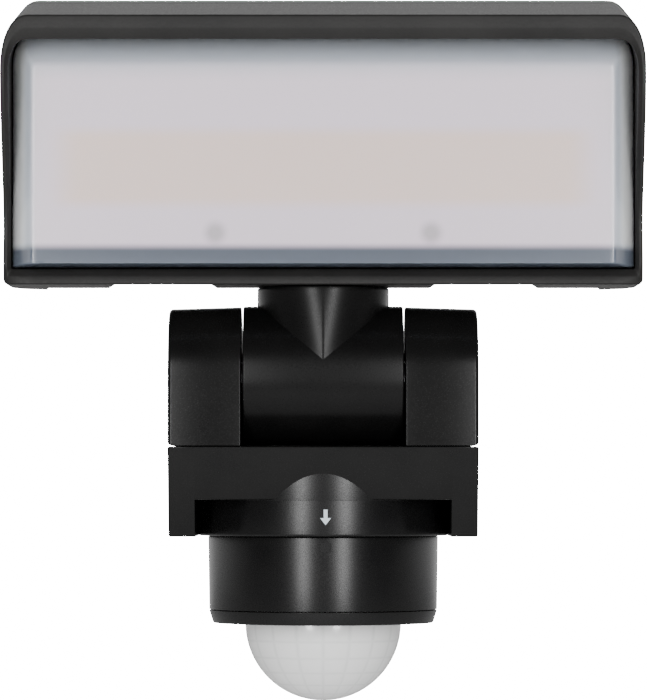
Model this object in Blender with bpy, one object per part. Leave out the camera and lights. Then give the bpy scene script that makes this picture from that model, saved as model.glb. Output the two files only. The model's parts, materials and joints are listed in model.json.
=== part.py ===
"""Wall-mounted LED floodlight with a motion sensor: a tilting and turning light head
on a yoke, and a sensor head that turns under it.

Metres, +Z up. The origin is the centre of the wall plate's rear face, the wall is the
plane y = 0, and the front of the lamp faces -Y.
"""

import math

import bmesh
import bpy
from mathutils import Vector

MM = 0.001

# Clearances
GAP = 0.3 * MM  # between pieces that touch
PLAY = 0.5 * MM  # between pieces that move past each other

# Wall plate and its seal
PLATE_WIDTH = 76.0 * MM
PLATE_HEIGHT = 36.0 * MM
PLATE_THICK = 1.4 * MM
PLATE_CORNER = 4.0 * MM
SEAL_THICK = 1.5 * MM
SEAL_BAND = 4.5 * MM
SLOT_SPACING = 56.0 * MM  # between the two fixing slots
SLOT_WIDTH = 4.6 * MM
SLOT_LENGTH = 9.0 * MM
CABLE_HOLE_RADIUS = 6.5 * MM
CABLE_HOLE_RISE = 8.5 * MM  # above the plate's centre
GROMMET_WALL = 2.0 * MM
GROMMET_LIP = 2.0 * MM
GROMMET_NOSE = 4.0 * MM

# Base: housing with two arms, and the chin cover below it
CHEEK_WIDTH = 7.25 * MM  # chin cover beside the collar
BASE_WALL = 2.6 * MM
HOUSING_TOP = 21.0 * MM
ARM_RADIUS = 19.6 * MM
ARM_TOP_DRAFT = 0.6 * MM  # how much lower the arm's outer edge is
TILT_DEPTH = 56.4 * MM  # tilt axis, out from the wall
TILT_HEIGHT = 14.0 * MM
CHIN_HEIGHT = 25.7 * MM
CHIN_LEAN = math.radians(20.0)
NOTCH_HEIGHT = 10.6 * MM
NOTCH_FLARE = 1.7 * MM  # how much wider the notch is at the wall than at its front
YOKE_RELIEF = 4.2 * MM  # free space behind the barrel
BASE_EDGE = 1.2 * MM  # bevel of the arms' outer edges
BACK_ROUND = 3.0 * MM  # round edge on the block behind the arms
BUMP_DROP = 3.0 * MM  # chin cover's top to the top of its round boss

SCREW_RADIUS = 1.5 * MM
SCREW_HEAD_RADIUS = 2.3 * MM
SCREW_HEAD_THICK = 1.6 * MM
SCREW_RECESS = 1.0 * MM
SCREW_INSET = CHEEK_WIDTH / 2  # screw's centre from the side of the base
SCREW_DEPTH = 50.0 * MM  # screw's centre, out from the wall
SCREW_BITE = 8.0 * MM  # screw's length in the housing
CAVITY_AHEAD = 14.0 * MM  # chin's cavity in front of its screws
CROSS_DEPTH = 0.8 * MM
CROSS_WIDTH = 0.7 * MM

# Terminal block and control board inside the base
INNER_CLEAR = 1.0 * MM
TERMINAL_SIZE = Vector((30.0, 13.0, 14.0)) * MM
TERMINAL_BACK = 3.5 * MM  # from the cover's rear face
TERMINAL_WAYS = 3
TERMINAL_SCREW = 2.2 * MM
TERMINAL_MOUTH = 2.0 * MM
CONTROL_BOARD_INSET = 4.0 * MM  # from the chin's inner sides
CONTROL_BOARD_FRONT = 54.0 * MM
CONTROL_BOARD_BACK = 6.0 * MM
RELAY_CORNER = Vector((-28.0, -30.0)) * MM
RELAY_SIZE = Vector((19.0, 15.0, 6.4)) * MM
CAPACITOR_RADIUS = 3.2 * MM
CAPACITOR_X = 16.0 * MM
CAPACITOR_FRONT = 36.0 * MM
CAPACITOR_LENGTH = 16.0 * MM

# Knuckle: barrel between the arms, with the neck standing on it
BARREL_RADIUS = 19.8 * MM
BARREL_LENGTH = 45.8 * MM
BARREL_EDGE = 0.5 * MM
NECK_RADIUS = 18.9 * MM
NECK_FORWARD = 0.65 * MM  # neck axis in front of the tilt axis
NECK_HEIGHT = BARREL_RADIUS + 5.2 * MM  # neck's top above the tilt axis
SPIGOT_RADIUS = 12.0 * MM
SEAL_GROOVE = 3.3 * MM  # width of the neck seal's groove
SEAL_GROOVE_DEEP = 1.8 * MM
WIRE_WAY_RADIUS = 4.0 * MM
WIRE_EXIT_RADIUS = 3.0 * MM
RETAINER_WIDTH = 3.0 * MM
RETAINER_THICK = 1.8 * MM
BOLT_RADIUS = 4.0 * MM
BOLT_HEAD_RADIUS = 7.0 * MM
BOLT_HEAD_THICK = 4.0 * MM
CAP_RADIUS = 10.0 * MM
CAP_THICK = 2.4 * MM
WASHER_RADIUS = 10.0 * MM
WASHER_THICK = 0.9 * MM

# Light head
HEAD_WIDTH = 181.6 * MM
VISOR_DEPTH = 91.4 * MM  # visor's front edge, out from the wall
VISOR_HEIGHT = 75.2 * MM  # visor's front edge above the head's underside
VISOR_REACH = 14.0 * MM  # how far the visor stands in front of the lip
CHEEK_DIP = 2.6 * MM  # how far the side edges curve in behind the lip
TOP_SLOPE = math.radians(10.2)
HOOD_REAR = 50.3 * MM  # joint between hood and back cover, out from the wall
HEAD_REAR = 38.0 * MM  # rear face, out from the wall
CORNER_ACROSS = 9.0 * MM
CORNER_DOWN = 17.0 * MM
CORNER_STEPS = 8
FOOT_RADIUS = 1.6 * MM  # lower corners, which grow towards the rear
REAR_FOOT_RADIUS = 5.3 * MM
FOOT_START = 52.0 * MM  # where they begin to grow, out from the wall
SIDE_WALL = 2.2 * MM
VISOR_WALL = 7.0 * MM
SHELL_WALL = 2.5 * MM
LIP_HEIGHT = 4.4 * MM
FLOOR_THICK = 4.7 * MM
RECESS_FROM = 31.3 * MM
RECESS_TO = 59.0 * MM
RECESS_DEPTH = 2.4 * MM
SHELF_SLOPE = 3.0 * MM  # depth of the slope behind the diffuser's rim
LIP_THICK = 3.0 * MM
SHELF_SETBACK = 0.5 * MM  # diffuser's rear to the start of the thicker rim
COVER_FOOT = 10.8 * MM  # width of the back cover's two lower corners
COVER_LIFT = 2.1 * MM
COVER_BEVEL = 1.5 * MM
COVER_SCREW_INSET = 14.0 * MM  # from the sides
COVER_SCREW_RISE = 12.0 * MM  # from the underside
COVER_SCREW_DROP = 13.0 * MM  # from the top
COVER_SCREW_RADIUS = 1.3 * MM
COVER_SCREW_HEAD = 2.6 * MM
COVER_SCREW_HEAD_THICK = 1.5 * MM
COVER_SCREW_SINK = 0.4 * MM
COVER_SCREW_LENGTH = 4.0 * MM  # past the cover's wall
FIN_DEPTH = 4.0 * MM
FIN_THICK = 1.8 * MM
FIN_COUNT = 15
FIN_PITCH = 9.6 * MM
FIN_START = 14.0 * MM  # above the underside
FIN_END = 12.0 * MM  # below the top

# Diffuser and the light engine behind it
TRAY_REAR = 73.5 * MM
TRAY_FRONT = 82.0 * MM
TRAY_WALL = 1.8 * MM
TRAY_SIDE_SLOPE = 6.0 * MM
TRAY_TOP_SLOPE = 9.2 * MM
TRAY_BOTTOM_SLOPE = 0.8 * MM
GASKET_THICK = 1.6 * MM
GASKET_WIDTH = 4.5 * MM
SPREADER_SIZE = (160.0 * MM, 1.5 * MM, 52.0 * MM)
SPREADER_RISE = 8.0 * MM  # above the head's floor
BOARD_THICK = 1.6 * MM
BOARD_INSET = 2.0 * MM  # the LED board's edge inside the spreader's
STRIP_SIZE = (150.0 * MM, 1.0 * MM, 5.0 * MM)
STRIP_SPACING = 24.0 * MM
POST_SPREAD = 30.5 * MM
POST_HEIGHT = 14.4 * MM  # above the head's underside
POST_RADIUS = 2.6 * MM
DRIVER_SIZE = (104.0 * MM, 30.0 * MM)
DRIVER_RISE = 20.0 * MM  # above the head's floor
DRIVER_CLEAR = 2.0 * MM  # behind the heat spreader
CHOKE_SIZE = Vector((18.0, 9.0, 16.0)) * MM
CHOKE_LEFT = 38.0 * MM
CHOKE_RISE = 7.0 * MM  # above the driver board's lower edge
DRIVER_CAN_RADIUS = 4.2 * MM
DRIVER_CAN_LENGTH = 20.0 * MM
DRIVER_CAN_X = 6.0 * MM

# Sensor head: the knobs stand round the dome, the cup round them, and the collar is
# wider than the cup
DOME_RADIUS = 22.7 * MM
KNOB_RADIUS = 3.0 * MM
KNOB_CIRCLE = DOME_RADIUS + KNOB_RADIUS + 1.6 * MM
CUP_RADIUS = KNOB_CIRCLE + KNOB_RADIUS + 3.2 * MM
COLLAR_RADIUS = CUP_RADIUS + 3.1 * MM
SENSOR_DEPTH = COLLAR_RADIUS  # turning axis, out from the wall
COLLAR_HEIGHT = 10.2 * MM
COLLAR_EDGE = 0.4 * MM
COLLAR_BACK = 2.5 * MM  # flat back of the collar, out from the wall
CUP_HEIGHT = 20.9 * MM
CUP_WALL = 2.4 * MM
CUP_EDGE = 0.6 * MM
CUP_DRAFT = 0.3 * MM  # how much narrower the cup is at its lower edge
RING_HEIGHT = 3.7 * MM
RING_DRAFT = 0.9 * MM
STEM_RISE = 9.2 * MM  # stem's top above the collar's lower face
LEDGE_RISE = 4.6 * MM  # collar's ledge for the clip above its lower face
LEDGE_WIDTH = 5.0 * MM
CLIP_WIDTH = 4.0 * MM
CLIP_THICK = 1.8 * MM
STEM_RADIUS = 14.0 * MM
STEM_BORE = 5.0 * MM
DOME_WALL = 1.2 * MM
FLANGE_WIDTH = 1.2 * MM
KNOB_ANGLE = math.radians(38.0)
KNOB_STANDS_OUT = 0.8 * MM
PIR_RADIUS = 4.1 * MM
PIR_HEIGHT = 4.6 * MM
PIR_RIM = 0.5 * MM
LIGHT_SENSOR_RADIUS = 2.4 * MM
LIGHT_SENSOR_HEIGHT = 3.0 * MM
LIGHT_SENSOR_OFFSET = 11.0 * MM

# Sides of round pieces, and how far a cutter reaches past what it cuts
ROUND = 48
SMALL_ROUND = 24
TINY_ROUND = 12
OVER = 5.0 * MM

# Worked-out places
BACK = max(SEAL_THICK, PLATE_THICK) + GAP  # rear faces of the covers, out from the wall
TILT_AXIS = Vector((0.0, -TILT_DEPTH, TILT_HEIGHT))
NECK_TOP = TILT_HEIGHT + NECK_HEIGHT
HEAD_BOTTOM = NECK_TOP + GAP
HEAD_FLOOR = HEAD_BOTTOM + FLOOR_THICK
RETAINER_SEAT = HEAD_FLOOR - RETAINER_THICK - 2 * GAP
NECK_AXIS = Vector((0.0, -TILT_DEPTH - NECK_FORWARD, HEAD_BOTTOM))
SEAM = TILT_HEIGHT - BARREL_RADIUS - PLAY
CHIN_TOP = SEAM - GAP
BASE_WIDTH = 2 * (COLLAR_RADIUS + GAP + CHEEK_WIDTH)
CHIN_BOTTOM = CHIN_TOP - CHIN_HEIGHT
BASE_FRONT = TILT_DEPTH + ARM_RADIUS
NOTCH_TOP = CHIN_BOTTOM + NOTCH_HEIGHT
SCREW_X = BASE_WIDTH / 2 - SCREW_INSET
SCREW_TOP = SEAM + SCREW_BITE
ARM_INNER = BARREL_LENGTH / 2 + PLAY
COLLAR_TOP = NOTCH_TOP - GAP
COLLAR_BOTTOM = COLLAR_TOP - COLLAR_HEIGHT
CUP_TOP = COLLAR_BOTTOM - PLAY
CUP_BOTTOM = CUP_TOP - CUP_HEIGHT
RING_TOP = CUP_BOTTOM - GAP
RING_BOTTOM = RING_TOP - RING_HEIGHT
SENSOR_AXIS = Vector((0.0, -SENSOR_DEPTH, CUP_TOP))


def clear_scene():
    for old in list(bpy.data.objects):
        bpy.data.objects.remove(old)


def finish(name, colour, roughness, metallic=0.0):
    """A Principled material."""
    material = bpy.data.materials.new(name)
    material.use_nodes = True
    shader = material.node_tree.nodes["Principled BSDF"]
    shader.inputs["Base Color"].default_value = (*colour, 1.0)
    shader.inputs["Roughness"].default_value = roughness
    shader.inputs["Metallic"].default_value = metallic
    return material


def place(name, shape, material, pivot=(0.0, 0.0, 0.0)):
    """An object from a bmesh in world coordinates, with its origin at pivot."""
    bmesh.ops.recalc_face_normals(shape, faces=shape.faces)
    bmesh.ops.translate(shape, verts=shape.verts, vec=-Vector(pivot))
    mesh = bpy.data.meshes.new(name)
    shape.to_mesh(mesh)
    shape.free()
    mesh.shade_smooth()
    mesh.set_sharp_from_angle(angle=math.radians(35.0))
    piece = bpy.data.objects.new(name, mesh)
    piece.location = pivot
    if material:
        mesh.materials.append(material)
    bpy.context.scene.collection.objects.link(piece)
    return piece


def boolean(piece, shape, operation):
    """Cuts a helper shape from a piece, or adds it to the piece."""
    count = len(piece.modifiers)
    helper = place(f"{piece.name}_tool_{count}", shape, None)
    helper.hide_render = True
    helper.display_type = "WIRE"
    modifier = piece.modifiers.new(f"{operation.lower()}_{count}", "BOOLEAN")
    modifier.operation = operation
    modifier.object = helper
    modifier.solver = "EXACT"


def cut(piece, shape):
    boolean(piece, shape, "DIFFERENCE")


def add(piece, shape):
    boolean(piece, shape, "UNION")


def in_space(axis, first, second, along):
    """A point from two coordinates in the plane across an axis and one along it."""
    if axis == "X":
        return Vector((along, first, second))
    if axis == "Y":
        return Vector((first, along, second))
    return Vector((first, second, along))


def loft(rings, hollow=False):
    """A body through rings of equal point counts.

    Its two ends are capped, or a hollow one goes from the last ring back to the first.
    """
    shape = bmesh.new()
    rows = [[shape.verts.new(point) for point in ring] for ring in rings]
    count = len(rings[0])
    pairs = zip(rows, rows[1:] + rows[:1]) if hollow else zip(rows, rows[1:])
    for first, second in pairs:
        for i in range(count):
            j = (i + 1) % count
            shape.faces.new((first[i], first[j], second[j], second[i]))
    if not hollow:
        shape.faces.new(rows[0])
        shape.faces.new(rows[-1])
    return shape


def prism(outline, axis, low, high):
    """An outline in the plane across an axis, extruded along that axis."""
    return loft([[in_space(axis, u, v, along) for u, v in outline] for along in (low, high)])


def block(low, high):
    """A box between two corners."""
    outline = [(low[0], low[2]), (high[0], low[2]), (high[0], high[2]), (low[0], high[2])]
    return prism(outline, "Y", low[1], high[1])


def arc(centre, radius, start, end, steps):
    """Points on an arc, both ends included, with its angles in degrees."""
    angles = [math.radians(start + (end - start) * i / steps) for i in range(steps + 1)]
    return [
        (centre[0] + radius * math.cos(a), centre[1] + radius * math.sin(a)) for a in angles
    ]


def circle(centre, radius, steps):
    return arc(centre, radius, 0.0, 360.0, steps)[:-1]


def rounded_box(low, high, radius, steps=4):
    """Outline of a rectangle with round corners."""
    (left, bottom), (right, top) = low, high
    corners = (
        ((right - radius, top - radius), 0.0),
        ((left + radius, top - radius), 90.0),
        ((left + radius, bottom + radius), 180.0),
        ((right - radius, bottom + radius), 270.0),
    )
    return [p for c, a in corners for p in arc(c, radius, a, a + 90.0, steps)]


def turned(profile, axis, centre, steps):
    """A closed outline of (radius, place along the axis) turned about an axis."""
    shape = bmesh.new()
    rings = []
    for radius, along in profile:
        if radius == 0.0:
            rings.append([shape.verts.new(in_space(axis, *centre, along))])
            continue
        ring = [in_space(axis, u, v, along) for u, v in circle(centre, radius, steps)]
        rings.append([shape.verts.new(point) for point in ring])
    closed = profile[0][0] > 0.0 and profile[-1][0] > 0.0
    pairs = list(zip(rings, rings[1:])) + ([(rings[-1], rings[0])] if closed else [])
    for first, second in pairs:
        for i in range(steps):
            j = (i + 1) % steps
            corners = [first[i % len(first)], first[j % len(first)]]
            corners += [second[j % len(second)], second[i % len(second)]]
            corners = list(dict.fromkeys(corners))
            if len(corners) > 2:
                shape.faces.new(corners)
    return shape


def rod(axis, centre, radius, low, high, steps=SMALL_ROUND):
    return prism(circle(centre, radius, steps), axis, low, high)


# --- Base ---------------------------------------------------------------------------


def make_wall_plate(zinc, rubber):
    half = PLATE_WIDTH / 2
    outline = rounded_box((-half, -PLATE_HEIGHT / 2), (half, PLATE_HEIGHT / 2), PLATE_CORNER)
    plate = place("wall_plate", prism(outline, "Y", -PLATE_THICK, 0.0), zinc)
    for side in (-1, 1):
        x = side * SLOT_SPACING / 2
        slot = rounded_box(
            (x - SLOT_LENGTH / 2, -SLOT_WIDTH / 2),
            (x + SLOT_LENGTH / 2, SLOT_WIDTH / 2),
            SLOT_WIDTH / 2 - 0.01 * MM,
        )
        cut(plate, prism(slot, "Y", -2 * PLATE_THICK, PLATE_THICK))
    hole = circle((0.0, CABLE_HOLE_RISE), CABLE_HOLE_RADIUS, SMALL_ROUND)
    cut(plate, prism(hole, "Y", -2 * PLATE_THICK, PLATE_THICK))

    inner = (half + GAP, PLATE_HEIGHT / 2 + GAP)
    outer = (inner[0] + SEAL_BAND, inner[1] + SEAL_BAND * 0.7)
    near = rounded_box((-inner[0], -inner[1]), inner, PLATE_CORNER)
    far = rounded_box((-outer[0], -outer[1]), outer, PLATE_CORNER * 1.5)
    loops = ((near, 0.0), (far, 0.0), (far, -SEAL_THICK), (near, -SEAL_THICK))
    rings = [[in_space("Y", u, v, y) for u, v in loop] for loop, y in loops]
    place("wall_seal", loft(rings, hollow=True), rubber)

    rim = CABLE_HOLE_RADIUS - GAP
    lip = CABLE_HOLE_RADIUS + GROMMET_LIP
    bore = rim - GROMMET_WALL
    back = -PLATE_THICK - GAP
    nose = back - GROMMET_NOSE
    grommet = [
        (bore, -GAP),
        (rim, -GAP),
        (rim, back),
        (lip, back),
        (lip, back - GROMMET_NOSE * 0.4),
        ((bore + rim) / 2, nose),
        (bore, nose),
    ]
    centre = (0.0, CABLE_HOLE_RISE)
    place("cable_grommet", turned(grommet, "Y", centre, SMALL_ROUND), rubber)


def housing_profile(radius):
    """Side outline of the housing and arms: flat front, round top, lower block behind."""
    rise = HOUSING_TOP - TILT_HEIGHT
    meet = math.degrees(math.asin(rise / radius))
    top = arc((-TILT_DEPTH, TILT_HEIGHT), radius, 180.0, meet, 20)
    centre = (-BACK - BACK_ROUND, HOUSING_TOP - BACK_ROUND)
    back = arc(centre, BACK_ROUND, 90.0, 0.0, 4)
    front = -TILT_DEPTH - radius
    return [(front, SEAM)] + top + back + [(-BACK, SEAM)]


def make_base_housing(plastic):
    half = BASE_WIDTH / 2
    inner = housing_profile(ARM_RADIUS)
    outer = housing_profile(ARM_RADIUS - ARM_TOP_DRAFT)
    front = -BASE_FRONT
    outer[:2] = [(front, SEAM), (front, TILT_HEIGHT)]
    soft = [(front + BASE_EDGE, v) for _, v in outer[:2]] + outer[2:]
    stations = (
        (-half, soft),
        (-half + BASE_EDGE, outer),
        (-ARM_INNER, inner),
        (ARM_INNER, inner),
        (half - BASE_EDGE, outer),
        (half, soft),
    )
    rings = [[in_space("X", u, v, x) for u, v in ring] for x, ring in stations]
    housing = place("base_housing", loft(rings), plastic)

    relief = BARREL_RADIUS + YOKE_RELIEF
    bay = arc((-TILT_DEPTH, TILT_HEIGHT), relief, -90.0, 90.0, 24)
    ahead = -BASE_FRONT - OVER
    bay = [(ahead, TILT_HEIGHT - relief)] + bay + [(ahead, TILT_HEIGHT + relief)]
    cut(housing, prism(bay, "X", -ARM_INNER, ARM_INNER))

    cavity_front = -TILT_DEPTH + relief + BASE_WALL
    cavity = block(
        (-half + BASE_WALL, cavity_front, SEAM + BASE_WALL),
        (half - BASE_WALL, OVER, HOUSING_TOP - BASE_WALL),
    )
    cut(housing, cavity)
    bore = BOLT_RADIUS + GAP
    axis = (-TILT_DEPTH, TILT_HEIGHT)
    cut(housing, rod("X", axis, bore, -half - OVER, half + OVER))
    for side in (-1, 1):
        floor = half - CAP_THICK - BOLT_HEAD_THICK - 2 * GAP
        well = sorted((side * floor, side * 2 * half))
        cut(housing, rod("X", axis, CAP_RADIUS + GAP, *well, steps=32))
        hole = (side * SCREW_X, -SCREW_DEPTH)
        top = SCREW_TOP + GAP
        cut(housing, rod("Z", hole, SCREW_RADIUS + GAP, SEAM - OVER, top, TINY_ROUND))


def make_chin_cover(plastic, steel):
    half = BASE_WIDTH / 2
    front = -BASE_FRONT
    back = -BACK
    lean = CHIN_HEIGHT * math.tan(CHIN_LEAN)
    side = [
        (back, CHIN_TOP),
        (front, CHIN_TOP),
        (front + lean, CHIN_BOTTOM),
        (back, CHIN_BOTTOM),
    ]
    chin = place("chin_cover", prism(side, "X", -half, half), plastic)
    bump = arc((0.0, -SENSOR_DEPTH), COLLAR_RADIUS, 180.0, 360.0, ROUND // 2)
    add(chin, prism(bump, "Z", NOTCH_TOP, CHIN_TOP - BUMP_DROP))
    mouth = COLLAR_RADIUS + GAP
    straight = -SENSOR_DEPTH - COLLAR_RADIUS * 0.7
    notch = [
        (-mouth, front - OVER),
        (mouth, front - OVER),
        (mouth, straight),
        (mouth + NOTCH_FLARE, OVER),
        (-mouth - NOTCH_FLARE, OVER),
        (-mouth, straight),
    ]
    cut(chin, prism(notch, "Z", CHIN_BOTTOM - OVER, NOTCH_TOP))
    cavity = block(
        (-half + CHEEK_WIDTH, -SCREW_DEPTH - CAVITY_AHEAD, NOTCH_TOP + BASE_WALL),
        (half - CHEEK_WIDTH, OVER, CHIN_TOP - BASE_WALL),
    )
    cut(chin, cavity)
    for turn in (-1, 1):
        hole = (turn * SCREW_X, -SCREW_DEPTH)
        below = CHIN_BOTTOM - OVER
        cut(chin, rod("Z", hole, SCREW_RADIUS + GAP, below, CHIN_TOP + OVER, TINY_ROUND))
        sunk = CHIN_BOTTOM + SCREW_RECESS + SCREW_HEAD_THICK
        cut(chin, rod("Z", hole, SCREW_HEAD_RADIUS + GAP, below, sunk + GAP, TINY_ROUND))
        name = "chin_screw_left" if turn < 0 else "chin_screw_right"
        profile = [
            (0.0, CHIN_BOTTOM + SCREW_RECESS),
            (SCREW_HEAD_RADIUS, CHIN_BOTTOM + SCREW_RECESS),
            (SCREW_HEAD_RADIUS, sunk),
            (SCREW_RADIUS, sunk),
            (SCREW_RADIUS, SCREW_TOP),
            (0.0, SCREW_TOP),
        ]
        screw = place(name, turned(profile, "Z", hole, TINY_ROUND), steel)
        cross_slot(screw, hole, CHIN_BOTTOM + SCREW_RECESS, SCREW_HEAD_RADIUS)


def cross_slot(screw, centre, face, radius):
    """A cross recess in a screw head that faces down."""
    long, wide = radius * 0.7, CROSS_WIDTH / 2
    for across, down in ((long, wide), (wide, long)):
        low = (centre[0] - across, centre[1] - down, face - OVER)
        high = (centre[0] + across, centre[1] + down, face + CROSS_DEPTH)
        cut(screw, block(low, high))


def make_base_insides(nylon, board, black, sleeve):
    """Terminal block behind the arms, and the control board over the collar."""
    front = -BACK - TERMINAL_BACK - TERMINAL_SIZE.y
    left = -BASE_WIDTH / 2 + BASE_WALL + INNER_CLEAR
    low = Vector((left, front, SEAM + BASE_WALL + INNER_CLEAR))
    terminal = place("terminal_block", block(low, low + TERMINAL_SIZE), nylon)
    under = low.z - OVER
    for i in range(TERMINAL_WAYS):
        x = low.x + (i + 0.5) * TERMINAL_SIZE.x / TERMINAL_WAYS
        well = (x, low.z + TERMINAL_SIZE.z * 0.64)
        deep = front + TERMINAL_SIZE.y * 0.4
        cut(terminal, rod("Y", well, TERMINAL_SCREW, front - OVER, deep, TINY_ROUND))
        mouth = (x, front + TERMINAL_SIZE.y * 0.54)
        high = low.z + TERMINAL_SIZE.z * 0.43
        cut(terminal, rod("Z", mouth, TERMINAL_MOUTH, under, high, TINY_ROUND))

    floor = NOTCH_TOP + BASE_WALL + INNER_CLEAR
    half = BASE_WIDTH / 2 - CHEEK_WIDTH - CONTROL_BOARD_INSET
    corner = (-half, -CONTROL_BOARD_FRONT, floor)
    far = (half, -CONTROL_BOARD_BACK, floor + BOARD_THICK)
    place("control_board", block(corner, far), board)
    top = floor + BOARD_THICK + GAP
    corner = Vector((*RELAY_CORNER, top))
    place("relay", block(corner, corner + RELAY_SIZE), black)
    middle = (CAPACITOR_X, top + CAPACITOR_RADIUS)
    rear = -CAPACITOR_FRONT + CAPACITOR_LENGTH
    can = rod("Y", middle, CAPACITOR_RADIUS, -CAPACITOR_FRONT, rear)
    place("capacitor", can, sleeve)


def make_collar(plastic):
    """Round collar that the sensor head hangs from, with a flat back to the wall."""
    axis = (0.0, -SENSOR_DEPTH)
    ledge = COLLAR_BOTTOM + LEDGE_RISE
    profile = [
        (STEM_RADIUS + GAP, COLLAR_BOTTOM),
        (COLLAR_RADIUS - COLLAR_EDGE, COLLAR_BOTTOM),
        (COLLAR_RADIUS, COLLAR_BOTTOM + COLLAR_EDGE),
        (COLLAR_RADIUS, COLLAR_TOP - COLLAR_EDGE),
        (COLLAR_RADIUS - COLLAR_EDGE, COLLAR_TOP),
        (STEM_RADIUS + LEDGE_WIDTH, COLLAR_TOP),
        (STEM_RADIUS + LEDGE_WIDTH, ledge),
        (STEM_RADIUS + GAP, ledge),
    ]
    collar = place("sensor_collar", turned(profile, "Z", axis, ROUND), plastic)
    wide = COLLAR_RADIUS + OVER
    cut(collar, block((-wide, -COLLAR_BACK, COLLAR_BOTTOM - OVER), (wide, 2 * OVER, 0.0)))
    return ledge


# --- Tilt joint ---------------------------------------------------------------------


def make_knuckle(plastic, rubber, nylon):
    neck_axis = (NECK_AXIS.x, NECK_AXIS.y)
    middle = (SPIGOT_RADIUS + NECK_RADIUS) / 2
    groove = (middle - SEAL_GROOVE / 2, middle + SEAL_GROOVE / 2)
    groove_floor = NECK_TOP - SEAL_GROOVE_DEEP
    neck = [
        (0.0, TILT_HEIGHT),
        (NECK_RADIUS, TILT_HEIGHT),
        (NECK_RADIUS, NECK_TOP),
        (groove[1], NECK_TOP),
        (groove[1], groove_floor),
        (groove[0], groove_floor),
        (groove[0], NECK_TOP),
        (SPIGOT_RADIUS, NECK_TOP),
        (SPIGOT_RADIUS, HEAD_FLOOR),
        (0.0, HEAD_FLOOR),
    ]
    axis = (TILT_AXIS.y, TILT_AXIS.z)
    half = BARREL_LENGTH / 2
    floor = WASHER_THICK + GAP - (PLAY - GAP)
    edge = BARREL_EDGE
    bore = BOLT_RADIUS + GAP
    seat = WASHER_RADIUS + GAP
    barrel = [
        (bore, -half + floor),
        (seat, -half + floor),
        (seat, -half),
        (BARREL_RADIUS - edge, -half),
        (BARREL_RADIUS, -half + edge),
        (BARREL_RADIUS, half - edge),
        (BARREL_RADIUS - edge, half),
        (seat, half),
        (seat, half - floor),
        (bore, half - floor),
    ]
    knuckle = place("tilt_knuckle", turned(barrel, "X", axis, ROUND), plastic, TILT_AXIS)
    add(knuckle, turned(neck, "Z", neck_axis, ROUND))
    cut(knuckle, rod("X", axis, bore, -half, half))
    exit_height = TILT_HEIGHT + bore + WIRE_EXIT_RADIUS + 2 * MM
    above = HEAD_FLOOR + OVER
    cut(knuckle, rod("Z", neck_axis, WIRE_WAY_RADIUS, exit_height, above, TINY_ROUND))
    exit_place = (0.0, exit_height)
    cut(knuckle, rod("Y", exit_place, WIRE_EXIT_RADIUS, NECK_AXIS.y, 0.0, TINY_ROUND))

    thick = NECK_TOP - groove_floor - 2 * GAP
    ring = circle((middle, groove_floor + GAP + thick / 2), thick / 2, 8)
    place("neck_seal", turned(ring, "Z", neck_axis, 28), rubber, TILT_AXIS)

    sides = ((-1, "left"), (1, "right"))
    for side, word in sides:
        inner, outer = sorted(
            (side * (half - floor + GAP), side * (half - floor + GAP + WASHER_THICK))
        )
        ring = [(bore, inner), (WASHER_RADIUS, inner), (WASHER_RADIUS, outer), (bore, outer)]
        name = f"friction_washer_{word}"
        place(name, turned(ring, "X", axis, SMALL_ROUND), nylon, TILT_AXIS)

    low = RETAINER_SEAT + GAP
    clip = [
        (SPIGOT_RADIUS + GAP, low),
        (SPIGOT_RADIUS + RETAINER_WIDTH, low),
        (SPIGOT_RADIUS + RETAINER_WIDTH, low + RETAINER_THICK),
        (SPIGOT_RADIUS + GAP, low + RETAINER_THICK),
    ]
    place("neck_retainer", turned(clip, "Z", neck_axis, 32), nylon, TILT_AXIS)


def make_bolt(steel, plastic):
    axis = (TILT_AXIS.y, TILT_AXIS.z)
    outer = BASE_WIDTH / 2 - CAP_THICK - GAP
    inner = outer - BOLT_HEAD_THICK
    end = -outer
    head = loft_hex("X", axis, BOLT_HEAD_RADIUS, inner, outer)
    bolt = place("tilt_bolt", head, steel, TILT_AXIS)
    add(bolt, rod("X", axis, BOLT_RADIUS, end, inner + 1 * MM))
    nut = loft_hex("X", axis, BOLT_HEAD_RADIUS, -inner, -outer + 0.5 * MM)
    nut_piece = place("tilt_nut", nut, steel, TILT_AXIS)
    cut(nut_piece, rod("X", axis, BOLT_RADIUS + GAP, -2 * outer, 0.0))
    for side, word in ((-1, "left"), (1, "right")):
        face = side * BASE_WIDTH / 2
        low, high = sorted((face, face - side * CAP_THICK))
        cap = rod("X", axis, CAP_RADIUS, low, high, 32)
        place(f"bolt_cap_{word}", cap, plastic, TILT_AXIS)


def loft_hex(axis, centre, radius, low, high):
    return prism(circle(centre, radius, 6), axis, *sorted((low, high)))


# --- Light head ---------------------------------------------------------------------


def top_height(y):
    """Top of the head, which rises towards the rear."""
    return HEAD_BOTTOM + VISOR_HEIGHT + (y + VISOR_DEPTH) * math.tan(TOP_SLOPE)


def foot_radius(y):
    """Radius of the head's lower corners, which grows towards the rear."""
    way = max((FOOT_START + y) / (FOOT_START - HEAD_REAR), 0.0)
    return FOOT_RADIUS + (REAR_FOOT_RADIUS - FOOT_RADIUS) * way


def front_edge(z):
    """How far out the head's front edge is at a height: visor, dipped cheek, lip."""
    share = (z - HEAD_BOTTOM) / VISOR_HEIGHT
    rise = min(max((share - 0.2) / 0.62, 0.0), 1.0)
    rise = rise * rise * (3.0 - 2.0 * rise)
    dip = CHEEK_DIP * math.exp(-(((share - 0.2) / 0.16) ** 2))
    return -(VISOR_DEPTH - VISOR_REACH * (1.0 - rise) - dip)


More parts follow.
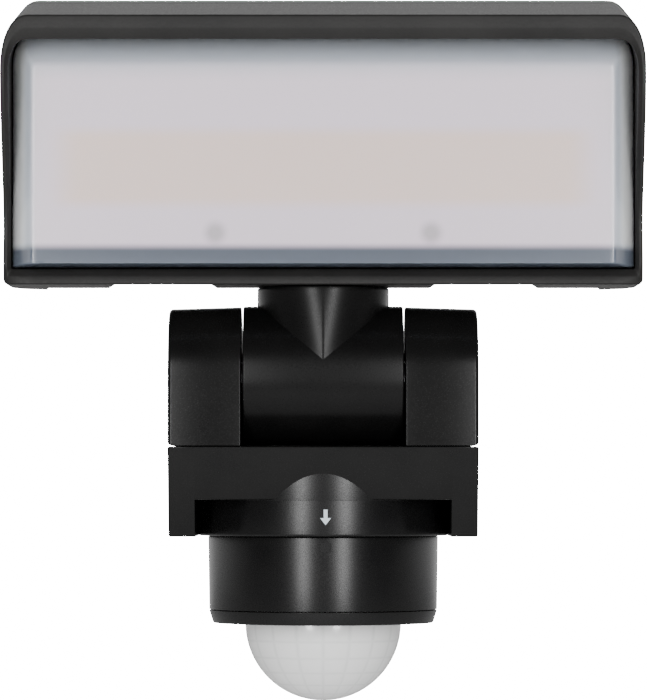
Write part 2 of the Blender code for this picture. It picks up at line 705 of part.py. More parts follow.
def head_outline(y, side_inset=0.0, top_inset=0.0, floor_inset=0.0):
    """Front view of the head at one depth, anticlockwise from the lower right corner."""
    half = HEAD_WIDTH / 2 - side_inset
    top = top_height(y) - top_inset
    bottom = HEAD_BOTTOM + floor_inset
    across = max(CORNER_ACROSS - side_inset, 1 * MM)
    down = max(CORNER_DOWN - top_inset, 2 * MM)
    foot = max(foot_radius(y) - floor_inset, 0.6 * MM)
    points = []
    for i in range(CORNER_STEPS + 1):
        angle = math.radians(90.0 * i / CORNER_STEPS)
        u = math.cos(angle) ** 0.85
        v = math.sin(angle) ** 0.85
        points.append((half - across * (1.0 - u), top - down * (1.0 - v)))
    left = [(-x, z) for x, z in reversed(points)]
    feet = arc((-half + foot, bottom + foot), foot, 180.0, 270.0, 3)
    feet += arc((half - foot, bottom + foot), foot, 270.0, 360.0, 3)
    sides = [bottom + foot + (points[0][1] - bottom - foot) * i / 9 for i in range(1, 9)]
    right_side = [(half, z) for z in sides]
    left_side = [(-half, z) for z in reversed(sides)]
    return right_side + points + left + left_side + feet


def shell_ring(y, flush, **insets):
    """A ring of the head's shell. Flush rings follow the curved front edge."""
    points = head_outline(y, **insets)
    if not flush:
        return [in_space("Y", x, z, y) for x, z in points]
    edged = []
    for i, (x, z) in enumerate(points):
        depth = front_edge(z)
        x, z = head_outline(depth, **insets)[i]
        edged.append(in_space("Y", x, z, depth))
    return edged


def make_hood(plastic):
    """Front shell: a tube with a visor, thin cheeks, a lip and a flat underside."""
    shelf = -TRAY_REAR + SHELF_SETBACK
    rim = {"side_inset": SIDE_WALL, "top_inset": VISOR_WALL, "floor_inset": LIP_HEIGHT}
    behind = {"side_inset": SHELL_WALL, "top_inset": SHELL_WALL, "floor_inset": FLOOR_THICK}
    seat = {"side_inset": SIDE_WALL, "top_inset": VISOR_WALL, "floor_inset": FLOOR_THICK}
    rings = [
        shell_ring(-HOOD_REAR, False, **behind),
        shell_ring(-TRAY_REAR + 2 * SHELF_SLOPE, False, **behind),
        shell_ring(-TRAY_REAR + SHELF_SLOPE, False, **seat),
        shell_ring(shelf, False, **seat),
        shell_ring(-VISOR_DEPTH, True, **rim),
        shell_ring(-VISOR_DEPTH, True),
        shell_ring(shelf, False),
        shell_ring(-FOOT_START, False),
        shell_ring(-HOOD_REAR, False),
    ]
    hood = place("hood_shell", loft(rings, hollow=True), plastic, NECK_AXIS)
    lip_back = front_edge(HEAD_BOTTOM) + LIP_THICK
    for side in (-1, 1):
        left, right = sorted((side * RECESS_FROM, side * RECESS_TO))
        low = (left, lip_back, HEAD_BOTTOM - OVER)
        high = (right, 0.0, HEAD_BOTTOM + RECESS_DEPTH)
        cut(hood, block(low, high))
    cut(hood, neck_bore())


def neck_bore():
    """Stepped hole for the knuckle's spigot and its retainer in the head's floor."""
    wide = SPIGOT_RADIUS + RETAINER_WIDTH + GAP
    profile = [
        (0.0, HEAD_BOTTOM - OVER),
        (SPIGOT_RADIUS + GAP, HEAD_BOTTOM - OVER),
        (SPIGOT_RADIUS + GAP, RETAINER_SEAT),
        (wide, RETAINER_SEAT),
        (wide, HEAD_FLOOR + 0.1 * MM),
        (0.0, HEAD_FLOOR + 0.1 * MM),
    ]
    return turned(profile, "Z", (NECK_AXIS.x, NECK_AXIS.y), 32)


def make_back_cover(plastic, steel):
    """Rear shell with cooling fins, notched low so that only its corners reach down."""
    front = -HOOD_REAR + GAP
    floor = -HEAD_REAR - SHELL_WALL
    hollow = {"side_inset": SHELL_WALL, "top_inset": SHELL_WALL, "floor_inset": FLOOR_THICK}
    rings = [
        shell_ring(floor, False, **hollow),
        shell_ring(front, False, **hollow),
        shell_ring(front, False),
        shell_ring(-HEAD_REAR - COVER_BEVEL, False),
        shell_ring(-HEAD_REAR, False, side_inset=COVER_BEVEL, top_inset=COVER_BEVEL),
    ]
    cover = place("back_cover", loft(rings), plastic, NECK_AXIS)
    reach = HEAD_WIDTH / 2 - COVER_FOOT
    low = (-reach, front - OVER, HEAD_BOTTOM - OVER)
    cut(cover, block(low, (reach, 0.0, HEAD_BOTTOM + COVER_LIFT)))
    cut(cover, neck_bore())
    top = top_height(-HEAD_REAR)
    fin_low = HEAD_BOTTOM + FIN_START
    fin_high = top - FIN_END
    for i in range(FIN_COUNT):
        x = (i - (FIN_COUNT - 1) / 2) * FIN_PITCH
        side = [
            (-HEAD_REAR - SHELL_WALL / 2, fin_low),
            (-HEAD_REAR + FIN_DEPTH, fin_low + FIN_DEPTH),
            (-HEAD_REAR + FIN_DEPTH, fin_high - FIN_DEPTH),
            (-HEAD_REAR - SHELL_WALL / 2, fin_high),
        ]
        add(cover, prism(side, "X", x - FIN_THICK / 2, x + FIN_THICK / 2))

    across = HEAD_WIDTH / 2 - COVER_SCREW_INSET
    lower = HEAD_BOTTOM + COVER_SCREW_RISE
    upper = top - COVER_SCREW_DROP
    places = {
        "back_screw_lower_left": (-across, lower),
        "back_screw_lower_right": (across, lower),
        "back_screw_upper_left": (-across, upper),
        "back_screw_upper_right": (across, upper),
    }
    face = -HEAD_REAR - COVER_SCREW_SINK
    seat = face - COVER_SCREW_HEAD_THICK
    for name, centre in places.items():
        head_hole = COVER_SCREW_HEAD + GAP
        cut(cover, rod("Y", centre, head_hole, seat - GAP, 0.0, TINY_ROUND))
        shank_hole = COVER_SCREW_RADIUS + GAP
        cut(cover, rod("Y", centre, shank_hole, floor - OVER, 0.0, TINY_ROUND))
        profile = [
            (0.0, face),
            (COVER_SCREW_HEAD, face),
            (COVER_SCREW_HEAD, seat),
            (COVER_SCREW_RADIUS, seat),
            (COVER_SCREW_RADIUS, floor - COVER_SCREW_LENGTH),
            (0.0, floor - COVER_SCREW_LENGTH),
        ]
        screw = place(name, turned(profile, "Y", centre, TINY_ROUND), steel, NECK_AXIS)
        arm = COVER_SCREW_HEAD * 0.65
        for across_slot, up in ((arm, arm / 5), (arm / 5, arm)):
            low = (centre[0] - across_slot, seat + GAP, centre[1] - up)
            cut(screw, block(low, (centre[0] + across_slot, 0.0, centre[1] + up)))


def tray_ring(y, side, top, bottom):
    """The hood's opening as an outline at one depth, drawn in by side, top and bottom."""
    insets = {
        "side_inset": SIDE_WALL + GAP + side,
        "top_inset": VISOR_WALL + GAP + top,
        "floor_inset": FLOOR_THICK + GAP + bottom,
    }
    return [in_space("Y", x, z, y) for x, z in head_outline(-TRAY_REAR, **insets)]


def make_light_engine(opal, rubber, metal, board, phosphor, nylon):
    slope = (TRAY_SIDE_SLOPE, TRAY_TOP_SLOPE, TRAY_BOTTOM_SLOPE)
    inner_slope = [s + TRAY_WALL * 0.8 for s in slope]
    rings = [
        tray_ring(-TRAY_FRONT + TRAY_WALL, *inner_slope),
        tray_ring(-TRAY_REAR, TRAY_WALL, TRAY_WALL, TRAY_WALL),
        tray_ring(-TRAY_REAR, 0.0, 0.0, 0.0),
        tray_ring(-TRAY_FRONT, *slope),
    ]
    place("diffuser", loft(rings), opal, NECK_AXIS)

    back = -TRAY_REAR + GAP
    deep = back + GASKET_THICK
    band = [
        tray_ring(back, 0.0, 0.0, 0.0),
        tray_ring(deep, 0.0, 0.0, 0.0),
        tray_ring(deep, GASKET_WIDTH, GASKET_WIDTH, GASKET_WIDTH),
        tray_ring(back, GASKET_WIDTH, GASKET_WIDTH, GASKET_WIDTH),
    ]
    place("diffuser_gasket", loft(band, hollow=True), rubber, NECK_AXIS)

    middle = HEAD_FLOOR + SPREADER_RISE + SPREADER_SIZE[2] / 2
    wide, thick, tall = SPREADER_SIZE
    plate_front = deep + GAP
    plate = block(
        (-wide / 2, plate_front, middle - tall / 2),
        (wide / 2, plate_front + thick, middle + tall / 2),
    )
    place("heat_spreader", plate, metal, NECK_AXIS)
    board_back = plate_front - GAP
    half_wide = wide / 2 - BOARD_INSET
    half_tall = tall / 2 - BOARD_INSET
    pcb = block(
        (-half_wide, board_back - BOARD_THICK, middle - half_tall),
        (half_wide, board_back, middle + half_tall),
    )
    place("led_board", pcb, board, NECK_AXIS)
    long, high, tall_strip = STRIP_SIZE
    strip_back = board_back - BOARD_THICK - GAP
    for step, word in ((1, "upper"), (-1, "lower")):
        z = middle + step * STRIP_SPACING / 2
        low = (-long / 2, strip_back - high, z - tall_strip / 2)
        strip = block(low, (long / 2, strip_back, z + tall_strip / 2))
        place(f"led_strip_{word}", strip, phosphor, NECK_AXIS)
    for side, word in ((-1, "left"), (1, "right")):
        centre = (side * POST_SPREAD, HEAD_BOTTOM + POST_HEIGHT)
        front = -TRAY_FRONT + TRAY_WALL + GAP
        post = turned(
            [
                (0.0, front),
                (POST_RADIUS, front),
                (POST_RADIUS, strip_back - 3 * MM),
                (POST_RADIUS + 1 * MM, strip_back),
                (0.0, strip_back),
            ],
            "Y",
            centre,
            16,
        )
        place(f"diffuser_post_{word}", post, nylon, NECK_AXIS)


def make_driver(board, black, sleeve):
    """Driver board behind the heat spreader."""
    front = -TRAY_REAR + 2 * GAP + GASKET_THICK + SPREADER_SIZE[1] + DRIVER_CLEAR
    low = HEAD_FLOOR + DRIVER_RISE
    half = DRIVER_SIZE[0] / 2
    pcb = block((-half, front, low), (half, front + BOARD_THICK, low + DRIVER_SIZE[1]))
    place("driver_board", pcb, board, NECK_AXIS)
    back = front + BOARD_THICK + GAP
    corner = Vector((-CHOKE_LEFT, back, low + CHOKE_RISE))
    place("driver_choke", block(corner, corner + CHOKE_SIZE), black, NECK_AXIS)
    middle = (back + DRIVER_CAN_RADIUS, low + DRIVER_SIZE[1] / 2)
    end = DRIVER_CAN_X + DRIVER_CAN_LENGTH
    can = rod("X", middle, DRIVER_CAN_RADIUS, DRIVER_CAN_X, end)
    place("driver_capacitor", can, sleeve, NECK_AXIS)


# --- Sensor head --------------------------------------------------------------------


def make_sensor(plastic, milky, board, metal, clear, nylon, ledge):
    axis = (0.0, -SENSOR_DEPTH)
    stem_top = COLLAR_BOTTOM + STEM_RISE
    lower = CUP_RADIUS - CUP_DRAFT
    inner = lower - CUP_WALL
    cup = [
        (STEM_BORE, stem_top),
        (STEM_RADIUS, stem_top),
        (STEM_RADIUS, CUP_TOP),
        (CUP_RADIUS - CUP_EDGE, CUP_TOP),
        (CUP_RADIUS, CUP_TOP - CUP_EDGE),
        (lower, CUP_BOTTOM),
        (inner, CUP_BOTTOM),
        (inner, CUP_TOP - CUP_WALL),
        (STEM_BORE, CUP_TOP - CUP_WALL),
    ]
    place("sensor_cup", turned(cup, "Z", axis, ROUND), plastic, SENSOR_AXIS)

    clip_low = ledge + GAP
    clip = [
        (STEM_RADIUS + GAP, clip_low),
        (STEM_RADIUS + CLIP_WIDTH, clip_low),
        (STEM_RADIUS + CLIP_WIDTH, clip_low + CLIP_THICK),
        (STEM_RADIUS + GAP, clip_low + CLIP_THICK),
    ]
    place("sensor_clip", turned(clip, "Z", axis, 32), nylon, SENSOR_AXIS)

    hole = DOME_RADIUS + GAP
    ring = [
        (hole, RING_BOTTOM),
        (lower - RING_DRAFT - CUP_EDGE, RING_BOTTOM),
        (lower - RING_DRAFT, RING_BOTTOM + CUP_EDGE),
        (lower, RING_TOP),
        (hole, RING_TOP),
    ]
    bottom = place("sensor_ring", turned(ring, "Z", axis, ROUND), plastic, SENSOR_AXIS)

    flange_low = RING_TOP + GAP
    flange_high = flange_low + DOME_WALL
    inner_radius = DOME_RADIUS - DOME_WALL
    outside = arc((0.0, RING_BOTTOM), DOME_RADIUS, 0.0, -90.0, 9)[:-1]
    inside = arc((0.0, RING_BOTTOM), inner_radius, -90.0, 0.0, 9)[1:]
    dome = (
        [(DOME_RADIUS + FLANGE_WIDTH, flange_high), (DOME_RADIUS + FLANGE_WIDTH, flange_low)]
        + [(DOME_RADIUS, flange_low)]
        + outside
        + [(0.0, RING_BOTTOM - DOME_RADIUS)]
    )
    shell = [(0.0, RING_BOTTOM - inner_radius)] + inside + [(inner_radius, flange_high)]
    place("dome_lens", dome_body(dome, shell, axis), milky, SENSOR_AXIS)

    board_low = flange_high + GAP
    plate = rod("Z", axis, inner - 1.0 * MM, board_low, board_low + BOARD_THICK, 48)
    place("sensor_board", plate, board, SENSOR_AXIS)
    can_top = board_low - GAP
    can = [
        (0.0, can_top),
        (PIR_RADIUS + PIR_RIM, can_top),
        (PIR_RADIUS + PIR_RIM, can_top - PIR_RIM),
        (PIR_RADIUS, can_top - PIR_RIM),
        (PIR_RADIUS, can_top - PIR_HEIGHT),
        (0.0, can_top - PIR_HEIGHT),
    ]
    place("pir_element", turned(can, "Z", axis, SMALL_ROUND), metal, SENSOR_AXIS)
    spot = (axis[0] + LIGHT_SENSOR_OFFSET, axis[1])
    cell = rod("Z", spot, LIGHT_SENSOR_RADIUS, can_top - LIGHT_SENSOR_HEIGHT, can_top, 16)
    place("light_sensor", cell, clear, SENSOR_AXIS)

    for step, word in ((-1, "time"), (0, "light"), (1, "range")):
        angle = math.pi / 2 + step * KNOB_ANGLE
        spot = (
            axis[0] + KNOB_CIRCLE * math.cos(angle),
            axis[1] + KNOB_CIRCLE * math.sin(angle),
        )
        cut(bottom, rod("Z", spot, KNOB_RADIUS + GAP, RING_BOTTOM - 1 * MM, CUP_BOTTOM, 18))
        make_knob(f"{word}_knob", spot, board_low - GAP, nylon)


def dome_body(outside, inside, axis):
    """The dome's shell: an outer profile down to the pole and an inner one back up."""
    shape = turned(outside, "Z", axis, 32)
    hollow = turned(inside, "Z", axis, 32)
    mesh = bpy.data.meshes.new("hollow")
    hollow.to_mesh(mesh)
    hollow.free()
    shape.from_mesh(mesh)
    bpy.data.meshes.remove(mesh)
    edges = [edge for edge in shape.edges if edge.is_boundary]
    bmesh.ops.bridge_loops(shape, edges=edges)
    return shape


def make_knob(name, spot, top, nylon):
    face = RING_BOTTOM - KNOB_STANDS_OUT
    profile = [
        (0.0, face),
        (KNOB_RADIUS - 0.4 * MM, face),
        (KNOB_RADIUS, face + 0.4 * MM),
        (KNOB_RADIUS, top),
        (0.0, top),
    ]
    pivot = (spot[0], spot[1], face)
    knob = place(name, turned(profile, "Z", spot, SMALL_ROUND), nylon, pivot)
    low = (spot[0] - KNOB_RADIUS * 0.7, spot[1] - 0.45 * MM, face - 1 * MM)
    high = (spot[0] + KNOB_RADIUS * 0.7, spot[1] + 0.45 * MM, face + 1.2 * MM)
    cut(knob, block(low, high))


def build():
    clear_scene()
    black = finish("black_plastic", (0.035, 0.034, 0.033), 0.5)
    dark = finish("dark_plastic", (0.02, 0.02, 0.02), 0.5)
    nylon = finish("white_nylon", (0.75, 0.74, 0.7), 0.45)
    rubber = finish("rubber", (0.02, 0.02, 0.02), 0.8)
    steel = finish("plated_steel", (0.6, 0.6, 0.62), 0.35, 1.0)
    zinc = finish("zinc_plate", (0.55, 0.56, 0.58), 0.45, 1.0)
    aluminium = finish("aluminium", (0.8, 0.8, 0.8), 0.4, 1.0)
    board = finish("circuit_board", (0.03, 0.16, 0.06), 0.5)
    sleeve = finish("capacitor_sleeve", (0.05, 0.06, 0.2), 0.4)
    opal = finish("opal_plastic", (0.86, 0.87, 0.9), 0.35)
    phosphor = finish("led_phosphor", (0.9, 0.75, 0.2), 0.5)
    milky = finish("milky_dome", (0.8, 0.8, 0.8), 0.3)
    clear = finish("clear_lens", (0.7, 0.7, 0.75), 0.1)
    make_wall_plate(zinc, rubber)
    make_base_housing(black)
    make_chin_cover(black, steel)
    make_base_insides(nylon, board, dark, sleeve)
    ledge = make_collar(dark)
    make_knuckle(black, rubber, nylon)
    make_bolt(steel, black)
    make_hood(black)
    make_back_cover(black, steel)
    make_light_engine(opal, rubber, aluminium, board, phosphor, nylon)
    make_driver(board, dark, sleeve)
    make_sensor(dark, milky, board, steel, clear, nylon, ledge)


build()
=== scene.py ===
"""A wall-mounted LED floodlight with a motion sensor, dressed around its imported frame."""

import json
import math

import bpy
import numpy as np
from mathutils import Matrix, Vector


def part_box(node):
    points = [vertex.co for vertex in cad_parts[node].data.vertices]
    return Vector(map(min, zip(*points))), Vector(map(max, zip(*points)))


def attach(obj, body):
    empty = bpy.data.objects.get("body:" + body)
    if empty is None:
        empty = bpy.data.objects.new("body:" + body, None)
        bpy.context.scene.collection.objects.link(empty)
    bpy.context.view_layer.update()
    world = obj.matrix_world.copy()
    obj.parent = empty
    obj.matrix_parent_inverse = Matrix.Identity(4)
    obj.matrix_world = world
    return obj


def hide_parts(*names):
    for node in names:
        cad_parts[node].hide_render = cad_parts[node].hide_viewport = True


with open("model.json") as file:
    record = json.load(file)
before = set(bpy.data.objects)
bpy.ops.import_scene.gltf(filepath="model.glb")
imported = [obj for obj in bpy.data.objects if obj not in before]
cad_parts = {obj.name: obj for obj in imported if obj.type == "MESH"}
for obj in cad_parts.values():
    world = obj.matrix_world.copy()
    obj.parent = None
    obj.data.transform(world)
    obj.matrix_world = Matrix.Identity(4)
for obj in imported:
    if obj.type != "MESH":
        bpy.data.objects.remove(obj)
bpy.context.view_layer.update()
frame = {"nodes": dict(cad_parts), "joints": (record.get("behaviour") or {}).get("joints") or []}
MM = 0.001


# ---------------------------------------------------------------------------
# The view: a long lens level with the hinge block, pitched up a little so that
# the whole lamp is in it. The lamp hangs free, as it does before it is mounted.

VIEW_DISTANCE = 1300 * MM
EYE_HEIGHT = -16 * MM
PITCH = 1.60
visor_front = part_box("hood_shell")[0].y

lens = bpy.data.cameras.new("camera")
lens.sensor_fit = "HORIZONTAL"
lens.sensor_width = 36.0
lens.lens = 258.3
lens.clip_end = 50.0
camera = bpy.data.objects.new("camera", lens)
camera.location = (0.1 * MM, visor_front - VIEW_DISTANCE, EYE_HEIGHT)
camera.rotation_euler = (math.radians(90.0 + PITCH), 0.0, 0.0)
bpy.context.scene.collection.objects.link(camera)
bpy.context.scene.camera = camera


# ---------------------------------------------------------------------------
# Wall plate, seal and cable grommet: a galvanised sheet plate that is screwed
# to the wall, a moulded rubber seal round it, and the grommet for the cable.


def add_node(tree, kind, **inputs):
    """A new shader node, with inputs given by their socket names with _ for spaces."""
    node = tree.nodes.new(kind)
    for key, value in inputs.items():
        socket = node.inputs[key.replace("_", " ")]
        if isinstance(value, bpy.types.NodeSocket):
            tree.links.new(value, socket)
        else:
            socket.default_value = value
    return node


def object_place(tree, stretch=(1.0, 1.0, 1.0)):
    """The place on the object in metres, with its axes stretched."""
    where = tree.nodes.new("ShaderNodeTexCoord").outputs["Object"]
    return add_node(tree, "ShaderNodeMapping", Vector=where, Scale=stretch).outputs[0]


def noise(tree, size, detail=2.0, stretch=(1.0, 1.0, 1.0)):
    """Noise whose features are about size across, from 0 to 1."""
    place = object_place(tree, stretch)
    node = add_node(tree, "ShaderNodeTexNoise", Vector=place, Scale=1.0 / size, Detail=detail)
    return node.outputs["Fac"]


def spread(tree, value, low, high, from_low=0.3, from_high=0.7):
    """A value between two limits mapped to between two others."""
    node = add_node(tree, "ShaderNodeMapRange", Value=value)
    node.inputs["From Min"].default_value = from_low
    node.inputs["From Max"].default_value = from_high
    node.inputs["To Min"].default_value = low
    node.inputs["To Max"].default_value = high
    return node.outputs[0]


def tint(tree, share, first, second):
    """A colour between two, by a share from 0 to 1."""
    node = tree.nodes.new("ShaderNodeMix")
    node.data_type = "RGBA"
    tree.links.new(share, node.inputs["Factor"])
    sockets = [s for s in node.inputs if s.type == "RGBA"]
    for socket, colour in zip(sockets, (first, second)):
        if isinstance(colour, bpy.types.NodeSocket):
            tree.links.new(colour, socket)
        else:
            socket.default_value = (*colour, 1.0)
    return next(s for s in node.outputs if s.type == "RGBA")


def finish(name, roughness, metallic=0.0, **constants):
    """A Principled material with constant values on its own sockets."""
    material = bpy.data.materials.new(name)
    material.use_nodes = True
    shader = material.node_tree.nodes["Principled BSDF"]
    shader.inputs["Roughness"].default_value = roughness
    shader.inputs["Metallic"].default_value = metallic
    for key, value in constants.items():
        shader.inputs[key.replace("_", " ")].default_value = value
    return material, material.node_tree, shader


def textured(name, dark, light, rough, grain, depth, metallic=0.0, stretch=(1, 1, 1), **more):
    """A surface with a fine grain: mottled colour, uneven gloss and a low bump."""
    material, tree, shader = finish(name, rough, metallic, **more)
    fine = noise(tree, grain, 3.0, stretch)
    broad = noise(tree, grain * 40, 4.0)
    colour = tint(tree, spread(tree, broad, 0.0, 1.0), dark, light)
    gloss = spread(tree, fine, rough * 0.85, rough * 1.15)
    bump = add_node(tree, "ShaderNodeBump", Height=fine, Distance=depth, Strength=1.0)
    tree.links.new(colour, shader.inputs["Base Color"])
    tree.links.new(gloss, shader.inputs["Roughness"])
    tree.links.new(bump.outputs[0], shader.inputs["Normal"])
    return material


def coat(material, *nodes):
    """Gives CAD nodes a material."""
    for name in nodes:
        for slot in frame["nodes"][name].material_slots:
            slot.material = material


galvanised = textured(
    "galvanised_sheet", (0.42, 0.43, 0.45), (0.6, 0.61, 0.63), 0.38, 0.9 * MM, 0.01 * MM, 1.0
)
black_rubber = textured(
    "black_rubber", (0.012, 0.012, 0.013), (0.022, 0.022, 0.022), 0.75, 0.25 * MM, 0.02 * MM
)
coat(galvanised, "wall_plate")
coat(black_rubber, "wall_seal", "cable_grommet", "neck_seal", "diffuser_gasket")


# ---------------------------------------------------------------------------
# Housing: the upper half of the base, moulded in black ABS with a matt grain.
# Its two arms have flat fronts and round tops that fall away a little outwards.


def shell(grid, around=True, along=False, caps=True):
    """Vertices and faces of a grid of points [row, column].

    Neighbouring points make quads. Columns close on themselves if around, rows if
    along, and the first and last rows are filled if caps. Faces point outwards: the
    sum over all faces of centre times area normal, a volume, comes out positive.
    """
    grid = np.asarray(grid, float)
    rows, columns = grid.shape[:2]
    index = np.arange(rows * columns).reshape(rows, columns)
    if along:
        index = np.vstack([index, index[:1]])
    if around:
        index = np.hstack([index, index[:, :1]])
    corners = (index[:-1, :-1], index[:-1, 1:], index[1:, 1:], index[1:, :-1])
    quads = np.stack([c.ravel() for c in corners], 1)
    points = grid.reshape(-1, 3)
    faces = quads.tolist()
    if caps and not along:
        faces += [index[0, :columns][::-1].tolist(), index[rows - 1, :columns].tolist()]
    ends = points[quads]
    middle = points.mean(0)
    first, second = ends[:, 2] - ends[:, 0], ends[:, 3] - ends[:, 1]
    volume = (np.cross(first, second) * (ends.mean(1) - middle)).sum()
    if volume < 0:
        faces = [face[::-1] for face in faces]
    return points, faces


def piece(name, shells, material, body, *stands_for, slot=None, crease=32.0):
    """One mesh object from several shells, riding on a body in place of CAD nodes."""
    points, faces, start = [], [], 0
    for shell_points, shell_faces in shells:
        points.append(shell_points)
        faces += [[start + i for i in face] for face in shell_faces]
        start += len(shell_points)
    mesh = bpy.data.meshes.new(name)
    mesh.from_pydata(np.concatenate(points).tolist(), [], faces)
    mesh.validate()
    mesh.shade_smooth()
    mesh.set_sharp_from_angle(angle=math.radians(crease))
    mesh.materials.append(material)
    made = bpy.data.objects.new(name, mesh)
    bpy.context.scene.collection.objects.link(made)
    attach(made, body)
    if stands_for:
        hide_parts(*stands_for)
    return made


def in_space(axis, first, second, along):
    """Points from two coordinates across an axis and one along it, in X, Y, Z order."""
    parts = np.broadcast_arrays(first, second, along)
    order = {"X": (2, 0, 1), "Y": (0, 2, 1), "Z": (0, 1, 2)}[axis]
    return np.stack([parts[i] for i in order], -1)


def inset(outline, distance):
    """A closed anticlockwise outline moved inwards by a distance.

    Each point goes along the bisector of its two edges, as far as distance over the
    cosine of half the turn there, so that straight edges stay parallel.
    """
    ahead = np.roll(outline, -1, 0) - outline
    ahead /= np.linalg.norm(ahead, axis=1, keepdims=True)
    both = ahead + np.roll(ahead, 1, 0)
    both /= np.linalg.norm(both, axis=1, keepdims=True)
    inward = np.stack([-both[:, 1], both[:, 0]], 1)
    stretch = 1.0 / np.maximum((inward * np.stack([-ahead[:, 1], ahead[:, 0]], 1)).sum(1), 0.4)
    return outline + inward * (distance * stretch)[:, None]


def soften(corners, steps=5):
    """A closed outline from corners (a, b, radius), each rounded by a curve.

    The curve starts and ends at radius from the corner along its two edges, and is the
    quadratic (1-t)^2 start + 2t(1-t) corner + t^2 end.
    """
    data = np.array(corners, float)
    here, radius = data[:, :2], data[:, 2:3]
    after, before = np.roll(here, -1, 0) - here, np.roll(here, 1, 0) - here
    leave = here + after / np.linalg.norm(after, axis=1, keepdims=True) * radius
    enter = here + before / np.linalg.norm(before, axis=1, keepdims=True) * radius
    t = np.linspace(0.0, 1.0, steps)[None, :, None]
    curve = (1 - t) ** 2 * enter[:, None] + 2 * t * (1 - t) * here[:, None]
    curve = (curve + t**2 * leave[:, None]).reshape(-1, 2)
    keep = np.linalg.norm(curve - np.roll(curve, 1, 0), axis=1) > 1e-7
    return curve[keep]


def extruded(outline, axis, low, high, edge, steps=4):
    """An anticlockwise outline drawn along an axis, with its end edges rounded.

    At angle t from 0 to 90 degrees the outline is inset by edge (1 - sin t) and lies
    edge (1 - cos t) in from the end.
    """
    t = np.linspace(0.0, np.pi / 2, steps + 1)
    shrink = edge * (1 - np.sin(t))
    place = edge * (1 - np.cos(t))
    places = np.concatenate([low + place, high - place[::-1]])
    insets = np.concatenate([shrink, shrink[::-1]])
    rings = [inset(outline, d) for d in insets]
    return shell([in_space(axis, r[:, 0], r[:, 1], a) for r, a in zip(rings, places)])


BASE_HALF, BASE_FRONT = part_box("base_housing")[1].x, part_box("base_housing")[0].y
BASE_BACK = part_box("base_housing")[1].y
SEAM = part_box("base_housing")[0].z
HOUSING_TOP = 21 * MM
ARM_RADIUS = 19.6 * MM
ARM_FALL = 0.6 * MM
INNER_EDGE, OUTER_EDGE = 0.4 * MM, 1.1 * MM
TILT_Y, TILT_Z = (next(j for j in frame["joints"] if j["name"] == "lamp_tilt")["pos_m"])[1:]
BARREL_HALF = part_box("tilt_knuckle")[1].x
ARM_INNER = BARREL_HALF + 0.5 * MM
YOKE_RELIEF = 24 * MM

satin_black = textured(
    "satin_black_abs", (0.004, 0.004, 0.0042), (0.006, 0.0059, 0.0058), 0.27, 0.32 * MM, 0.003 * MM,
    Specular_IOR_Level=0.24,
)
matt_black = textured(
    "matt_black_abs", (0.004, 0.004, 0.004), (0.006, 0.0059, 0.0058), 0.25, 0.3 * MM, 0.004 * MM,
    Specular_IOR_Level=0.16,
)


def arm_profile(fall):
    """Side outline of an arm: straight front, elliptical top, block behind."""
    rise = ARM_RADIUS - fall
    low = math.asin((HOUSING_TOP - TILT_Z) / rise)
    t = np.linspace(low, np.pi, 48)
    top = np.stack([TILT_Y + ARM_RADIUS * np.cos(t), TILT_Z + rise * np.sin(t)], 1)
    t = np.linspace(0.0, np.pi / 2, 7)
    round_back = 3 * MM
    back = np.stack(
        [
            BASE_BACK - round_back * (1 - np.cos(t)),
            HOUSING_TOP - round_back * (1 - np.sin(t)),
        ],
        1,
    )
    floor = np.array([[BASE_FRONT, SEAM], [BASE_BACK, SEAM]])
    return np.concatenate([floor, back, top])


def arm(side):
    """One arm: its profile falls linearly from the inner face to the outer one."""
    t = np.linspace(0.0, np.pi / 2, 7)
    shrink, place = 1 - np.sin(t), 1 - np.cos(t)
    outer_places = BASE_HALF - OUTER_EDGE * place[::-1]
    places = np.concatenate([ARM_INNER + INNER_EDGE * place, outer_places])
    insets = np.concatenate([INNER_EDGE * shrink, OUTER_EDGE * shrink[::-1]])
    falls = ARM_FALL * (places - ARM_INNER) / (BASE_HALF - ARM_INNER)
    rings = [inset(arm_profile(f), d) for f, d in zip(falls, insets)]
    return shell([in_space("X", r[:, 0], r[:, 1], side * x) for r, x in zip(rings, places)])


t = np.linspace(np.pi / 2.25, -np.pi / 2.6, 24)
hollow = np.stack([TILT_Y + YOKE_RELIEF * np.cos(t), TILT_Z + YOKE_RELIEF * np.sin(t)], 1)
hollow = hollow[(hollow[:, 1] < HOUSING_TOP) & (hollow[:, 1] > SEAM)]
bridge = np.concatenate(
    [
        [[hollow[-1, 0], SEAM], [BASE_BACK, SEAM]],
        arm_profile(0.0)[2:9],
        [[hollow[0, 0] - 0.5 * MM, HOUSING_TOP]],
        hollow,
    ]
)
middle = extruded(bridge, "X", -ARM_INNER - MM, ARM_INNER + MM, 0.2 * MM)
piece("yoke_housing", [arm(-1), arm(1), middle], matt_black, "base", "base_housing",
      slot="black_plastic")


# ---------------------------------------------------------------------------
# Chin cover: the lower half of the base. Its face leans back towards the wall,
# two cheeks stand beside the collar, and a round boss blends into the collar.

CHIN_LOW, CHIN_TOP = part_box("chin_cover")[0].z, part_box("chin_cover")[1].z
CHIN_LEAN = math.tan(math.radians(20.0))
NOTCH_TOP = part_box("sensor_collar")[1].z + 0.3 * MM
COLLAR_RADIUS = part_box("sensor_collar")[1].x
SENSOR_Y = (next(j for j in frame["joints"] if j["name"] == "sensor_pan")["pos_m"])[1]
CHIN_EDGE = 0.6 * MM


def chin_section(low, high):
    """Side outline of the chin between two heights, with its leaning front."""
    def face(z):
        return BASE_FRONT + (CHIN_TOP - z) * CHIN_LEAN
    return soften(
        [
            (face(low), low, 0.5 * MM),
            (BASE_BACK, low, 0.4 * MM),
            (BASE_BACK, high, 0.4 * MM),
            (face(high), high, 0.5 * MM),
        ]
    )


